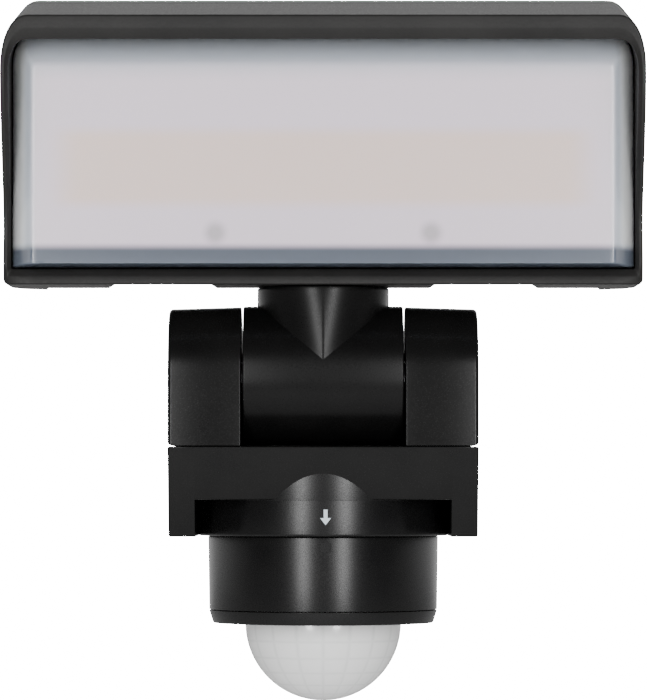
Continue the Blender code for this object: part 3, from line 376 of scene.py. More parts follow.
def cheek(side):
    """The chin's end beside the collar, square inside and rounded at its outer side."""
    t = np.linspace(np.pi / 2, 0.0, 5)
    outline = chin_section(CHIN_LOW, CHIN_TOP)
    places = np.append(COLLAR_RADIUS, BASE_HALF - CHIN_EDGE * (1 - np.cos(t)))
    insets = np.append(0.0, CHIN_EDGE * (1 - np.sin(t)))
    rings = [inset(outline, d) for d in insets]
    return shell([in_space("X", r[:, 0], r[:, 1], side * x) for r, x in zip(rings, places)])


line = chin_section(NOTCH_TOP, CHIN_TOP)
brow = shell([in_space("X", line[:, 0], line[:, 1], x) for x in (-COLLAR_RADIUS, COLLAR_RADIUS)])
cheeks = [cheek(-1), cheek(1)]
piece("leaning_chin", [brow, *cheeks], matt_black, "base", "chin_cover", slot="black_plastic")


# ---------------------------------------------------------------------------
# Collar: a round satin ring that the sensor head turns in, with a flat back to
# the wall and a printed white arrow that points at the sensor's own mark.

COLLAR_LOW, COLLAR_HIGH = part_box("sensor_collar")[0].z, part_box("sensor_collar")[1].z
COLLAR_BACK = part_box("sensor_collar")[1].y
BOSS_TOP = CHIN_TOP - 3.5 * MM

deep_black = textured(
    "deep_black_abs", (0.0035, 0.0035, 0.0037), (0.005, 0.005, 0.0049), 0.28, 0.3 * MM, 0.003 * MM,
    Specular_IOR_Level=0.26,
)
white_ink = textured("white_ink", (0.5, 0.57, 0.61), (0.56, 0.63, 0.67), 0.5, 0.2 * MM, 0.002 * MM)


def turned(corners, axis, centre, steps=160, closed=True):
    """A rounded outline of (radius, place along the axis, rounding) turned once round."""
    outline = soften(corners) if closed else np.array(corners)[:, :2]
    angle = np.linspace(0.0, 2 * np.pi, steps, endpoint=False)
    radius, along = outline[:, :1], outline[:, 1:]
    first = centre[0] + radius * np.cos(angle)
    second = centre[1] + radius * np.sin(angle)
    return shell(in_space(axis, first, second, along), along=closed)


sensor_centre = (0.0, SENSOR_Y)
inner = COLLAR_RADIUS * 0.4
points, faces = turned(
    [
        (inner, COLLAR_LOW, 0.3 * MM),
        (COLLAR_RADIUS, COLLAR_LOW, 0.7 * MM),
        (COLLAR_RADIUS, COLLAR_HIGH, 0.02 * MM),
        (inner + 6 * MM, COLLAR_HIGH, 0.3 * MM),
        (inner + 6 * MM, COLLAR_LOW + 4.6 * MM, 0.2 * MM),
        (inner, COLLAR_LOW + 4.6 * MM, 0.2 * MM),
    ],
    "Z",
    sensor_centre,
)
points[:, 1] = np.minimum(points[:, 1], COLLAR_BACK)
piece("swivel_collar", [(points, faces)], deep_black, "base", "sensor_collar", slot="dark_plastic")

points, faces = turned(
    [
        (COLLAR_RADIUS - 10 * MM, COLLAR_HIGH, 0.02 * MM),
        (COLLAR_RADIUS, COLLAR_HIGH, 0.02 * MM),
        (COLLAR_RADIUS, BOSS_TOP, 0.25 * MM),
        (COLLAR_RADIUS - 10 * MM, BOSS_TOP, 0.02 * MM),
    ],
    "Z",
    sensor_centre,
)
points[:, 1] = np.minimum(points[:, 1], SENSOR_Y)
piece("round_boss", [(points, faces)], deep_black, "base", slot="black_plastic")

ARROW_TOP, ARROW_NECK, ARROW_TIP = -24.5 * MM, -26.9 * MM, -28.9 * MM
SHAFT_HALF, HEAD_HALF = 0.55 * MM, 1.55 * MM
arrow_line = np.array(
    [
        (0.0, ARROW_TIP),
        (HEAD_HALF, ARROW_NECK),
        (SHAFT_HALF, ARROW_NECK),
        (SHAFT_HALF, ARROW_TOP),
        (-SHAFT_HALF, ARROW_TOP),
        (-SHAFT_HALF, ARROW_NECK),
        (-HEAD_HALF, ARROW_NECK),
    ]
)


def on_drum(line, radius, lift, depth):
    """A flat outline wrapped on a drum: y is the drum's axis less root(r^2 - x^2)."""
    rings = []
    for r in (radius - depth, radius + lift):
        rings.append(in_space("Y", line[:, 0], line[:, 1], SENSOR_Y - np.sqrt(r**2 - line[:, 0] ** 2)))
    return shell(rings)


MARK_SHIFT = 0.7 * MM
arrow_line[:, 0] += MARK_SHIFT
piece("direction_arrow", [on_drum(arrow_line, COLLAR_RADIUS, 0.03 * MM, 0.2 * MM)], white_ink, "base",
      slot="white_nylon")


# ---------------------------------------------------------------------------
# Sensor head: a round satin cup that turns under the collar, and the ring that
# closes it from below and holds the dome. A small raised mark shows its front.

CUP_TOP = (next(j for j in frame["joints"] if j["name"] == "sensor_pan")["pos_m"])[2]
CUP_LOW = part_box("sensor_cup")[0].z
CUP_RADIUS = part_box("sensor_cup")[1].x
RING_HIGH, RING_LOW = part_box("sensor_ring")[1].z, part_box("sensor_ring")[0].z
RING_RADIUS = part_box("sensor_ring")[1].x
CUP_DRAFT, CUP_LIFT = 0.3 * MM, 0.35 * MM
DOME_RADIUS = 22.7 * MM
stem = 14 * MM

cup = turned(
    [
        (stem - 6 * MM, COLLAR_HIGH - MM, 0.3 * MM),
        (stem - 6 * MM, CUP_TOP - 2.4 * MM, 0.3 * MM),
        (CUP_RADIUS - 3 * MM, CUP_TOP - 2.4 * MM, 1.0 * MM),
        (CUP_RADIUS - 3 * MM, CUP_LOW, 0.08 * MM),
        (CUP_RADIUS - CUP_DRAFT, CUP_LOW, 0.08 * MM),
        (CUP_RADIUS, CUP_TOP + CUP_LIFT, 0.35 * MM),
        (stem, CUP_TOP + CUP_LIFT, 0.3 * MM),
        (stem, COLLAR_HIGH - MM, 0.3 * MM),
    ],
    "Z",
    sensor_centre,
)
piece("sensor_drum", [cup], satin_black, "sensor", "sensor_cup", slot="dark_plastic")

mark_z = CUP_TOP - 2.6 * MM
frame_mark = soften(
    [
        (-1.6 * MM, mark_z - 1.3 * MM, 0.3 * MM),
        (1.6 * MM, mark_z - 1.3 * MM, 0.3 * MM),
        (1.6 * MM, mark_z + 1.3 * MM, 0.3 * MM),
        (-1.6 * MM, mark_z + 1.3 * MM, 0.3 * MM),
    ]
)
frame_mark[:, 0] += MARK_SHIFT
piece("index_mark", [on_drum(frame_mark, CUP_RADIUS, 0.15 * MM, 0.6 * MM)], deep_black,
      "sensor", slot="dark_plastic")

ring_hole = DOME_RADIUS + 0.3 * MM
ring = turned(
    [
        (ring_hole, RING_LOW, 0.4 * MM),
        (RING_RADIUS - 1.15 * MM, RING_LOW, 0.5 * MM),
        (RING_RADIUS, RING_HIGH, 0.08 * MM),
        (ring_hole, RING_HIGH, 0.2 * MM),
    ],
    "Z",
    sensor_centre,
)
piece("closing_ring", [ring], deep_black, "sensor", "sensor_ring", slot="dark_plastic")


# ---------------------------------------------------------------------------
# Dome: a milky polyethylene half sphere, moulded with rows of small lens facets
# on its inside that show faintly through the wall.

DOME_WALL = 1.2 * MM

dome_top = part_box("dome_lens")[1].z
t = np.linspace(0.0, np.pi / 2, 49)
outside = np.stack([DOME_RADIUS * np.cos(t), RING_LOW - DOME_RADIUS * np.sin(t)], 1)
bore = DOME_RADIUS - DOME_WALL
inside = np.stack([bore * np.cos(t[::-1]), RING_LOW - bore * np.sin(t[::-1])], 1)
rim = np.array([[bore, dome_top], [DOME_RADIUS, dome_top]])
dome_line = np.concatenate([outside[:-1], [[0.01 * MM, outside[-1, 1]]], [[0.01 * MM, inside[0, 1]]],
                            inside[1:], rim])
angle = np.linspace(0.0, 2 * np.pi, 160, endpoint=False)
radius, along = dome_line[:, :1], dome_line[:, 1:]
dome_grid = in_space("Z", radius * np.cos(angle), SENSOR_Y + radius * np.sin(angle), along)

milky, tree, shader = finish("milky_polyethylene", 0.2, IOR=1.5, Coat_Weight=0.35, Coat_Roughness=0.08,
                             Subsurface_Weight=0.35, Subsurface_Scale=0.006,
                             Subsurface_Radius=(1.0, 1.0, 1.0))
spot = object_place(tree)
apart = add_node(tree, "ShaderNodeVectorMath", Vector=spot)
apart.operation = "SUBTRACT"
apart.inputs[1].default_value = (0.0, SENSOR_Y, RING_LOW)
parts = add_node(tree, "ShaderNodeSeparateXYZ", Vector=apart.outputs[0])


def math_node(tree, operation, first, second=0.0):
    """One arithmetic node."""
    node = tree.nodes.new("ShaderNodeMath")
    node.operation = operation
    for socket, value in zip(node.inputs, (first, second)):
        if isinstance(value, bpy.types.NodeSocket):
            tree.links.new(value, socket)
        else:
            socket.default_value = value
    return node.outputs[0]


turn = math_node(tree, "ARCTAN2", parts.outputs["X"], parts.outputs["Y"])
fall = math_node(tree, "ARCSINE", math_node(tree, "DIVIDE", parts.outputs["Z"], -DOME_RADIUS))
rows = math_node(tree, "MULTIPLY", fall, 7 / math.pi * 2)
cells = math_node(tree, "MULTIPLY", turn, 9 / math.pi)
row_line = math_node(tree, "PINGPONG", rows, 0.5)
cell_line = math_node(tree, "PINGPONG", cells, 0.5)
nearest = math_node(tree, "MINIMUM", row_line, cell_line)
lines = spread(tree, nearest, 0.0, 1.0, 0.0, 0.12)
shade = tint(tree, lines, (0.76, 0.77, 0.76), (0.87, 0.875, 0.865))
tree.links.new(shade, shader.inputs["Base Color"])
facet = add_node(tree, "ShaderNodeBump", Height=lines, Distance=0.04 * MM, Strength=0.5)
tree.links.new(facet.outputs[0], shader.inputs["Normal"])
piece("sensor_dome", [shell(dome_grid, along=True)], milky, "sensor", "dome_lens", slot="milky_dome")


# ---------------------------------------------------------------------------
# Setting knobs: three white nylon trimmer knobs in the ring's rear, with a slot
# for a small screwdriver. Each turns on its own trimmer.

white_nylon = textured("white_nylon", (0.66, 0.65, 0.61), (0.74, 0.73, 0.69), 0.42, 0.3 * MM, 0.01 * MM)
coat(white_nylon, "time_knob", "light_knob", "range_knob", "sensor_clip", "neck_retainer",
     "terminal_block", "diffuser_post_left", "diffuser_post_right", "friction_washer_left",
     "friction_washer_right")


# ---------------------------------------------------------------------------
# Knuckle: a barrel clamped between the arms, with the neck that carries the
# head standing on it. The two round bodies meet in a sharp V at the front.

NECK_RADIUS = 18.9 * MM
V_RISE, V_SLOPE = 4.0 * MM, 0.845
NECK_Y = (next(j for j in frame["joints"] if j["name"] == "lamp_pan")["pos_m"])[1]
BARREL_RADIUS = 19.8 * MM
HEAD_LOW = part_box("hood_shell")[0].z
NECK_TOP = HEAD_LOW - 0.3 * MM
SPIGOT = 12 * MM

knuckle_black = textured(
    "knuckle_black_nylon", (0.003, 0.003, 0.003), (0.0045, 0.0044, 0.0044), 0.3, 0.3 * MM, 0.003 * MM,
    Specular_IOR_Level=0.14,
)
barrel = turned(
    [
        (4.3 * MM, -BARREL_HALF, 0.2 * MM),
        (BARREL_RADIUS, -BARREL_HALF, 0.55 * MM),
        (BARREL_RADIUS, BARREL_HALF, 0.55 * MM),
        (4.3 * MM, BARREL_HALF, 0.2 * MM),
    ],
    "X",
    (TILT_Y, TILT_Z),
)


def neck_shell():
    """The neck, ruled from its top circle down to a straight V on the barrel.

    The V's height over the tilt axis is a rise plus a slope times |x|, and its depth
    there is that of the barrel, the root of (radius^2 - height^2).
    """
    angle = np.linspace(0.0, 2 * np.pi, 240, endpoint=False)
    x, y = NECK_RADIUS * np.cos(angle), NECK_RADIUS * np.sin(angle)
    up = np.minimum(V_RISE + V_SLOPE * np.abs(x), BARREL_RADIUS - 0.01 * MM)
    out = np.sign(y) * np.sqrt(BARREL_RADIUS**2 - up**2)
    low = np.stack([x, TILT_Y + out, TILT_Z + up], -1)
    edge = 0.5 * MM
    high = np.stack([x, NECK_Y + y, x * 0 + NECK_TOP - edge], -1)
    rows = [low + (high - low) * s for s in np.linspace(0.0, 1.0, 14)]
    profile = [
        (NECK_RADIUS - edge * 0.29, NECK_TOP - edge * 0.29),
        (NECK_RADIUS - edge, NECK_TOP),
        (SPIGOT, NECK_TOP),
        (SPIGOT, NECK_TOP + 4.5 * MM),
        (6 * MM, NECK_TOP + 4.5 * MM),
        (6 * MM, TILT_Z),
    ]
    for radius, z in profile:
        share = radius / NECK_RADIUS
        rows.append(np.stack([x * share, NECK_Y + y * share, x * 0 + z], -1))
    return shell(np.array(rows), along=True)


knuckle = [barrel, neck_shell()]
piece("swivel_knuckle", knuckle, knuckle_black, "knuckle", "tilt_knuckle", slot="black_plastic")


# ---------------------------------------------------------------------------
# Tilt bolt: a plated bolt and nut clamp the arms on the barrel, under two
# press-in caps with a shallow dish.

plated = textured("zinc_plated_steel", (0.5, 0.5, 0.52), (0.62, 0.62, 0.63), 0.3, 0.5 * MM, 0.004 * MM, 1.0)
coat(plated, "tilt_bolt", "tilt_nut", "pir_element")
CAP_RADIUS = 10 * MM
CAP_THICK = 2.4 * MM
for side, word in ((-1, "left"), (1, "right")):
    face = side * BASE_HALF
    back = side * (BASE_HALF - CAP_THICK)
    dish = side * (BASE_HALF - 0.6 * MM)
    cap = turned(
        [
            (0.01 * MM, back, 0.0),
            (CAP_RADIUS, back, 0.2 * MM),
            (CAP_RADIUS, face, 0.4 * MM),
            (CAP_RADIUS - 2 * MM, face, 0.4 * MM),
            (CAP_RADIUS - 2.6 * MM, dish, 0.4 * MM),
            (0.01 * MM, dish, 0.0),
        ],
        "X",
        (TILT_Y, TILT_Z),
        96,
    )
    piece(f"dished_cap_{word}", [cap], satin_black, "base", f"bolt_cap_{word}", slot="black_plastic")


# ---------------------------------------------------------------------------
# Screws: self-tapping zinc-plated screws with flat heads, two from below in the
# chin's cheeks and four in the back cover, each in a round well.

REAR_Y = -38 * MM


def screw_head(axis, centre, face, inward, radius):
    """A flat head with a shallow dish, and the dark well round it, at one face."""
    well = turned(
        [
            (radius, face, 0.02 * MM),
            (radius + 0.45 * MM, face, 0.02 * MM),
            (radius + 0.45 * MM, face + inward * 0.5 * MM, 0.02 * MM),
            (radius, face + inward * 0.5 * MM, 0.02 * MM),
        ],
        axis,
        centre,
        32,
    )
    head = turned(
        [
            (0.01 * MM, face + inward * 0.4 * MM, 0.0),
            (radius * 0.35, face + inward * 0.3 * MM, 0.1 * MM),
            (radius * 0.45, face, 0.1 * MM),
            (radius, face, 0.2 * MM),
            (radius, face + inward * 1.5 * MM, 0.1 * MM),
            (0.01 * MM, face + inward * 1.5 * MM, 0.0),
        ],
        axis,
        centre,
        32,
    )
    return well, head


for name in ("back_screw_lower_left", "back_screw_lower_right", "back_screw_upper_left",
             "back_screw_upper_right"):
    low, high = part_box(name)
    centre = ((low.x + high.x) / 2, (low.z + high.z) / 2)
    well, head = screw_head("Y", centre, REAR_Y + 0.05 * MM, -1, 2.6 * MM)
    piece(f"{name}_head", [head], plated, "head", name, slot="plated_steel")
    piece(f"{name}_well", [well], deep_black, "head", slot="black_plastic")
for name in ("chin_screw_left", "chin_screw_right"):
    low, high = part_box(name)
    centre = ((low.x + high.x) / 2, (low.y + high.y) / 2)
    well, head = screw_head("Z", centre, CHIN_LOW - 0.05 * MM, 1, 2.3 * MM)
    piece(f"{name}_head", [head], plated, "base", name, slot="plated_steel")
    piece(f"{name}_well", [well], deep_black, "base", slot="black_plastic")


# ---------------------------------------------------------------------------
# Hood: the head's front shell in grained grey-black ABS. Its top runs out to a
# visor, the sides sweep back below it, and a low lip closes the front.

HEAD_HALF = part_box("hood_shell")[1].x
VISOR_Y, HOOD_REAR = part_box("hood_shell")[0].y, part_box("hood_shell")[1].y
VISOR_HEIGHT = 75.2 * MM
VISOR_REACH = 14 * MM
CHEEK_DIP = 2.6 * MM
TOP_SLOPE = math.tan(math.radians(10.2))
CORNER_ACROSS, CORNER_DOWN = 8.2 * MM, 16.5 * MM
FOOT, REAR_FOOT, FOOT_START = 1.6 * MM, 5.3 * MM, -52 * MM
RIM = np.array([2.2, 7.0, 4.4]) * MM  # rim's width at the sides, top and lip
FLOOR = 4.7 * MM
TRAY_REAR, TRAY_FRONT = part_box("diffuser")[1].y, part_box("diffuser")[0].y
RECESS_FROM, RECESS_TO, RECESS_DEPTH = 31.3 * MM, 59 * MM, 2.4 * MM
LIP_THICK = 3 * MM

grained_abs = textured(
    "grained_abs", (0.009, 0.0087, 0.0084), (0.014, 0.0135, 0.013), 0.5, 0.5 * MM, 0.045 * MM,
    Specular_IOR_Level=0.2,
)


def outline_shares():
    """Where each point of the head's front outline is, as shares of its measures.

    Columns: place across (-1 to 1), share of the corner's width taken off, share of
    the foot's radius taken off, share of the height, share of the corner's drop taken
    off, and share of the foot's radius added.
    """
    t = np.linspace(0.0, 1.0, 40)[1:-1]
    side = np.stack([t * 0 + 1, t * 0, t * 0, t, t, 1 - t], 1)
    a = np.linspace(0.0, np.pi / 2, 20)
    cos, sin = np.cos(a) ** 0.85, np.sin(a) ** 0.85
    corner = np.stack([cos * 0 + 1, 1 - cos, cos * 0, cos * 0 + 1, 1 - sin, cos * 0], 1)
    x = np.linspace(1.0, -1.0, 40)[1:-1]
    top = np.stack([x, x * 0 + 1, x * 0, x * 0 + 1, x * 0, x * 0], 1)
    a = np.linspace(0.0, np.pi / 2, 6)
    foot = np.stack([a * 0 + 1, a * 0, 1 - np.cos(a), a * 0, a * 0, 1 - np.sin(a)], 1)
    flip = np.array([-1, 1, 1, 1, 1, 1])
    edge = RECESS_FROM / HEAD_HALF, RECESS_TO / HEAD_HALF
    x = np.concatenate([np.linspace(0.0, edge[0] - 0.004, 8), np.linspace(edge[0], edge[1], 8)])
    x = np.concatenate([x, np.linspace(edge[1] + 0.004, 0.96, 8)])
    x = np.concatenate([-x[:0:-1], x])
    floor = np.stack([x, x * 0, x * 0 + 1, x * 0, x * 0, x * 0], 1)
    left = [corner[::-1] * flip, side[::-1] * flip, foot * flip]
    return np.concatenate([side, corner, top, *left, floor, foot[::-1]]), len(floor), len(foot)


SHARES, FLOOR_COUNT, FOOT_COUNT = outline_shares()
on_floor = np.zeros(len(SHARES), bool)
on_floor[-FLOOR_COUNT - FOOT_COUNT : -FOOT_COUNT] = True


def head_outline(y, trims=(0.0, 0.0, 0.0)):
    """Front outline of the head at depth y, trimmed by side, top and floor amounts.

    The top rises with the depth at a fixed slope, and the radius of the lower corners
    grows evenly from its start to the rear.
    """
    side, top, floor = trims
    way = np.maximum((y - FOOT_START) / (REAR_Y - FOOT_START), 0.0)
    half = HEAD_HALF - side
    high = HEAD_LOW + VISOR_HEIGHT + (y - VISOR_Y) * TOP_SLOPE - top
    low = HEAD_LOW + floor
    across = max(CORNER_ACROSS - side, MM)
    down = max(CORNER_DOWN - top, 2 * MM)
    foot = np.maximum(FOOT + (REAR_FOOT - FOOT) * way - floor, 0.6 * MM)
    place, corner, foot_in, height, drop, foot_up = SHARES.T
    x = place * (half - across * corner - foot * foot_in)
    z = low + (high - low) * height - down * drop + foot * foot_up
    return x, z


def front_edge(x, z):
    """Depth of the front edge: visor above, swept back to the cheeks, round at the lip.

    The rise from cheek to visor is the smooth step 3s^2 - 2s^3, the cheek's dip is a
    bell curve, and the lip's ends curve back with the square of the way to the side.
    """
    share = (z - HEAD_LOW) / VISOR_HEIGHT
    s = np.clip((share - 0.2) / 0.62, 0.0, 1.0)
    rise = s * s * (3 - 2 * s)
    dip = CHEEK_DIP * np.exp(-(((share - 0.2) / 0.16) ** 2))
    end = np.clip((np.abs(x) - HEAD_HALF + 9 * MM) / (9 * MM), 0.0, 1.0) ** 2.2
    round_end = CHEEK_DIP * end * np.clip(1 - share / 0.2, 0.0, 1.0)
    swept = np.where(share > 0.19, dip, np.maximum(dip, round_end))
    return VISOR_Y + VISOR_REACH * (1 - rise) + swept


def flush_ring(trims, back):
    """A ring that follows the front edge, a given distance behind it."""
    x, z = head_outline(VISOR_Y, trims)
    y = front_edge(x, z) + back
    x, z = head_outline(y, trims)
    return in_space("Y", x, z, y)


def flat_ring(y, trims=(0.0, 0.0, 0.0)):
    """The head's outline at one depth, trimmed at its sides, top and underside."""
    x, z = head_outline(np.full(len(SHARES), y), trims)
    return in_space("Y", x, z, y)


t = np.linspace(0.0, np.pi / 2, 5)
edge = 0.55 * MM
outer_edge = [flush_ring(np.full(3, edge * (1 - math.cos(a))), edge * (1 - math.sin(a))) for a in t]
inner_edge = []
for share, back in ((0.5, 0.0), (0.56, 0.1), (0.93, 0.95), (0.985, 1.15), (1.0, 1.6)):
    inner_edge.append(flush_ring(RIM * share, back * MM))
body = []
for s in np.linspace(0.0, 0.97, 24):
    x, z = head_outline(VISOR_Y)
    y = HOOD_REAR + s * (front_edge(x, z) - HOOD_REAR)
    x, z = head_outline(y)
    body.append(in_space("Y", x, z, y))
seat = np.array([RIM[0], RIM[1], FLOOR])
wide = np.array([2.5 * MM, 2.5 * MM, FLOOR])
inner_wall = [
    flat_ring(TRAY_REAR + 0.5 * MM, seat),
    flat_ring(TRAY_REAR + 3 * MM, seat),
    flat_ring(TRAY_REAR + 6 * MM, wide),
    flat_ring(HOOD_REAR, wide),
]
hood_grid = np.array(body + outer_edge + inner_edge + inner_wall)
x = np.abs(hood_grid[..., 0])
lip_back = VISOR_Y + VISOR_REACH + LIP_THICK
low_side = on_floor[None, :] & (np.abs(hood_grid[..., 2] - HEAD_LOW) < 0.1 * MM)
notched = (x >= RECESS_FROM - 0.05 * MM) & (x <= RECESS_TO + 0.05 * MM)
hood_grid[..., 2] += RECESS_DEPTH * (low_side & notched & (hood_grid[..., 1] > lip_back))
hood = shell(hood_grid, along=True)
piece("visor_hood", [hood], grained_abs, "head", "hood_shell", slot="black_plastic")


# ---------------------------------------------------------------------------
# Back cover: the head's rear shell in the same grained plastic, with upright
# cooling ribs. Only its two lower corners reach down to the hood's underside.

COVER_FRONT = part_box("back_cover")[0].y
COVER_FOOT, COVER_LIFT = 10.8 * MM, 2.1 * MM
RIB_COUNT, RIB_PITCH, RIB_THICK, RIB_DEPTH = 15, 9.6 * MM, 1.8 * MM, 4 * MM
cover_edge = 1.0 * MM
rings = [
    flat_ring(COVER_FRONT + 2 * MM, np.full(3, 3 * MM)),
    flat_ring(COVER_FRONT, np.full(3, 2.5 * MM)),
    flat_ring(COVER_FRONT, np.full(3, 0.15 * MM)),
]
rings += [flat_ring(y) for y in np.linspace(COVER_FRONT + 0.15 * MM, REAR_Y - cover_edge, 8)]
for a in np.linspace(0.0, np.pi / 2, 8)[1:]:
    trim = cover_edge * (1 - math.cos(a))
    rings.append(flat_ring(REAR_Y - cover_edge * (1 - math.sin(a)), np.full(3, trim)))
rings.append(flat_ring(REAR_Y, np.full(3, 3.4 * MM)))
cover_grid = np.array(rings)
reach = HEAD_HALF - COVER_FOOT
first = int(np.argmax(on_floor))
last = first + FLOOR_COUNT - 1
foot_edge = reach + 0.3 * MM
for column, x in ((first - 1, -foot_edge), (first, -reach), (last, reach), (last + 1, foot_edge)):
    cover_grid[:, column, 0] = x
lifted = HEAD_LOW + COVER_LIFT * (np.abs(cover_grid[..., 0]) < reach + 0.1 * MM)
cover_grid[..., 2] = np.maximum(cover_grid[..., 2], lifted)
shells = [shell(cover_grid)]
cover_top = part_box("back_cover")[1].z
rib_low, rib_high = HEAD_LOW + 14 * MM, cover_top - 12 * MM
rib_line = soften(
    [
        (REAR_Y - MM, rib_low, 0.1 * MM),
        (REAR_Y + RIB_DEPTH, rib_low + RIB_DEPTH, 1.2 * MM),
        (REAR_Y + RIB_DEPTH, rib_high - RIB_DEPTH, 1.2 * MM),
        (REAR_Y - MM, rib_high, 0.1 * MM),
    ]
)
for x in (np.arange(RIB_COUNT) - (RIB_COUNT - 1) / 2) * RIB_PITCH:
    shells.append(extruded(rib_line, "X", x - RIB_THICK / 2, x + RIB_THICK / 2, 0.35 * MM))
piece("ribbed_back", shells, grained_abs, "head", "back_cover", slot="black_plastic")


# ---------------------------------------------------------------------------
# Diffuser: a frosted polycarbonate tray with sloping sides, clipped into the
# hood's opening. The warm LED strips behind it tint the middle of its face.
# Painted light brightens its side slopes, and painted shade darkens its top
# slope and a band along its foot, in place of the light inside the tray.

SLOPES = np.array([6.0, 9.2, 0.8]) * MM
TRAY_WALL = 1.8 * MM
tray_base = np.array([RIM[0], RIM[1], FLOOR]) + 0.3 * MM


def tray_ring(y, trims):
    """The opening's outline as a ring of the tray, trimmed inwards, at one depth."""
    x, z = head_outline(np.full(len(SHARES), TRAY_REAR), tray_base + trims)
    return in_space("Y", x, z, y)


depth = TRAY_REAR - TRAY_FRONT
share = np.linspace(0.0, 0.86, 8)
rings = [tray_ring(TRAY_REAR - 0.01 * MM, np.full(3, TRAY_WALL)), tray_ring(TRAY_REAR, np.zeros(3))]
rings += [tray_ring(TRAY_REAR - depth * s, SLOPES * s * 0.98) for s in share[1:]]
lean = 0.86
for a in np.linspace(0.12, 1.0, 7):
    bend = 1 - (1 - a) ** 2
    y = TRAY_REAR - depth * (lean + (1 - lean) * bend)
    rings.append(tray_ring(y, SLOPES * (lean * 0.98 + (1.08 - lean) * a)))
for extra in np.array([1.0, 3.0, 6.0, 10.0, 15.0, 20.0, 24.0]) * MM:
    rings.append(tray_ring(TRAY_FRONT, SLOPES * 1.08 + extra))
tray_shell = shell(rings)

frosted, tree, shader = finish("frosted_polycarbonate", 0.28, IOR=1.5, Coat_Weight=0.5,
                               Coat_Roughness=0.06, Subsurface_Weight=1.0, Subsurface_Scale=0.02,
                               Subsurface_Radius=(1.0, 1.0, 1.0))
axes = add_node(tree, "ShaderNodeSeparateXYZ", Vector=object_place(tree))
wide_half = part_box("diffuser")[1].x - SLOPES[0]
face_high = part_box("diffuser")[1].z - SLOPES[1]
face_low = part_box("diffuser")[0].z + SLOPES[2]
from_side = math_node(tree, "SUBTRACT", wide_half, math_node(tree, "ABSOLUTE", axes.outputs["X"]))
from_top = math_node(tree, "SUBTRACT", face_high, axes.outputs["Z"])
from_floor = math_node(tree, "SUBTRACT", axes.outputs["Z"], face_low)


def soft_step(tree, value, low, high):
    """A smooth step from 0 to 1 as a value passes from low to high."""
    node = add_node(tree, "ShaderNodeMapRange", Value=value)
    node.interpolation_type = "SMOOTHSTEP"
    node.inputs["From Min"].default_value = low
    node.inputs["From Max"].default_value = high
    return node.outputs[0]


# Painted light and shade stand in for the light inside the tray: the side slopes are painted pale, as if
# lit through the plastic, and the top slope darker, as the shade under the visor.
side_slope_painted_light = (0.84, 0.9, 0.99)
top_slope_painted_shade = (0.5, 0.54, 0.61)
floor_band_painted_shade = (0.095, 0.112, 0.145)
slope_painted_light_and_shade = tint(tree, soft_step(tree, from_side, -3 * MM, -1 * MM), side_slope_painted_light, top_slope_painted_shade)
middle_z = (face_high + face_low) / 2 - 1 * MM
off_middle = math_node(tree, "ABSOLUTE", math_node(tree, "SUBTRACT", axes.outputs["Z"], middle_z))
warm = math_node(tree, "SUBTRACT", 1.0, soft_step(tree, off_middle, 8 * MM, 13 * MM))
warm = math_node(tree, "MULTIPLY", warm, soft_step(tree, from_side, 2 * MM, 14 * MM))
face_colour = tint(tree, warm, (0.82, 0.7, 0.82), (0.86, 0.66, 0.61))
for x in (-30.5 * MM, 30.5 * MM):
    near = add_node(tree, "ShaderNodeVectorMath", Vector=object_place(tree))
    near.operation = "DISTANCE"
    near.inputs[1].default_value = (x, TRAY_FRONT, HEAD_LOW + 14.4 * MM)
    shadow = soft_step(tree, near.outputs["Value"], 1.0 * MM, 4.5 * MM)
    face_colour = tint(tree, shadow, (0.5, 0.46, 0.5), face_colour)
lit = math_node(tree, "MULTIPLY", soft_step(tree, from_side, -0.8 * MM, 1.6 * MM),
                soft_step(tree, from_top, -3.0 * MM, 5.5 * MM))
tray_colour = tint(tree, lit, slope_painted_light_and_shade, face_colour)
# Painted shade: a dark band along the foot of the face, as the shade inside the tray.
foot_shade_band = soft_step(tree, from_floor, 3.4 * MM, 6.2 * MM)
tray_colour = tint(tree, foot_shade_band, floor_band_painted_shade, tray_colour)
tree.links.new(tray_colour, shader.inputs["Base Color"])
ripple = add_node(tree, "ShaderNodeBump", Height=noise(tree, 9 * MM, 1.0), Distance=0.02 * MM,
                  Strength=0.6)
tree.links.new(ripple.outputs[0], shader.inputs["Normal"])
piece("frosted_tray", [tray_shell], frosted, "head", "diffuser", slot="opal_plastic")


# ---------------------------------------------------------------------------
# Insides: printed circuit boards with their largest parts, LED strips on their
# board, and the aluminium sheet that spreads the heat. The casing covers them.

solder_resist = textured(
    "green_solder_resist", (0.01, 0.09, 0.03), (0.015, 0.12, 0.045), 0.35, 0.5 * MM, 0.01 * MM
)
sheet_aluminium = textured(
    "sheet_aluminium", (0.62, 0.63, 0.64), (0.74, 0.74, 0.75), 0.32, 0.2 * MM, 0.004 * MM, 1.0,
    stretch=(0.05, 1, 1),
)
led_phosphor = textured("led_phosphor", (0.75, 0.55, 0.1), (0.85, 0.65, 0.16), 0.5, 0.4 * MM, 0.02 * MM)
blue_sleeve = textured("blue_sleeve", (0.012, 0.02, 0.12), (0.02, 0.03, 0.17), 0.3, 0.5 * MM, 0.004 * MM)
clear_epoxy = textured("clear_epoxy", (0.6, 0.6, 0.64), (0.7, 0.7, 0.74), 0.12, 0.5 * MM, 0.002 * MM)
coat(solder_resist, "control_board", "led_board", "driver_board", "sensor_board")
coat(sheet_aluminium, "heat_spreader")
coat(led_phosphor, "led_strip_upper", "led_strip_lower")
coat(blue_sleeve, "capacitor", "driver_capacitor")
coat(clear_epoxy, "light_sensor")
coat(deep_black, "relay", "driver_choke")


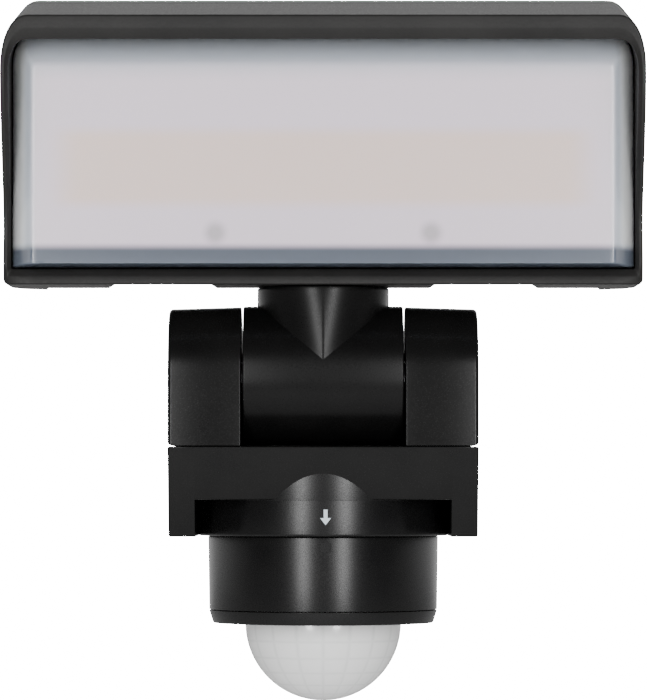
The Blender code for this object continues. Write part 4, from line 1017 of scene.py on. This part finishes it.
# ---------------------------------------------------------------------------
# Studio: a pale floor well below, white all round behind the lamp, a dark front,
# and two tall strip lights on either side of the lens.

FLOOR_Z = -0.45
t = np.linspace(-6.0, 6.0, 13)
gx, gy = np.meshgrid(t, t)
floor_points, floor_faces = shell(np.stack([gx, gy, gx * 0 + FLOOR_Z], -1), around=False, caps=False)
floor_mesh = bpy.data.meshes.new("studio_floor")
floor_mesh.from_pydata(floor_points.tolist(), [], floor_faces)
pale = textured("pale_floor", (0.78, 0.78, 0.78), (0.8, 0.8, 0.8), 0.7, 40 * MM, 0.1 * MM)
floor_mesh.materials.append(pale)
studio_floor = bpy.data.objects.new("studio_floor", floor_mesh)
bpy.context.scene.collection.objects.link(studio_floor)

world = bpy.data.worlds.new("studio")
bpy.context.scene.world = world
world.use_nodes = True
tree = world.node_tree
background = tree.nodes["Background"]
background.inputs["Color"].default_value = (1.0, 1.0, 1.0, 1.0)
direction = tree.nodes.new("ShaderNodeTexCoord").outputs["Generated"]
parts = add_node(tree, "ShaderNodeSeparateXYZ", Vector=direction)
BACK_LIGHT, FRONT_LIGHT = 1.15, 0.05
behind = spread(tree, parts.outputs["Y"], FRONT_LIGHT, BACK_LIGHT, -0.35, 0.35)
seen = tree.nodes.new("ShaderNodeLightPath").outputs["Is Camera Ray"]
level = add_node(tree, "ShaderNodeMix", Factor=seen, A=behind, B=24.0)
tree.links.new(level.outputs[0], background.inputs["Strength"])


def strip_light(name, azimuth, distance, width, height, middle, power):
    """A tall soft box that faces the lamp from an azimuth off the lens's axis."""
    light = bpy.data.lights.new(name, "AREA")
    light.shape = "RECTANGLE"
    light.size, light.size_y = width, height
    light.energy = power
    angle = math.radians(azimuth)
    box = bpy.data.objects.new(name, light)
    box.location = (distance * math.sin(angle), -distance * math.cos(angle), middle)
    box.rotation_euler = (math.radians(90.0), 0.0, angle)
    bpy.context.scene.collection.objects.link(box)


strip_light("strip_left", -19.0, 1.15, 0.18, 0.7, 0.12, 9.5)
strip_light("strip_right", 19.0, 1.15, 0.18, 0.7, 0.12, 9.5)
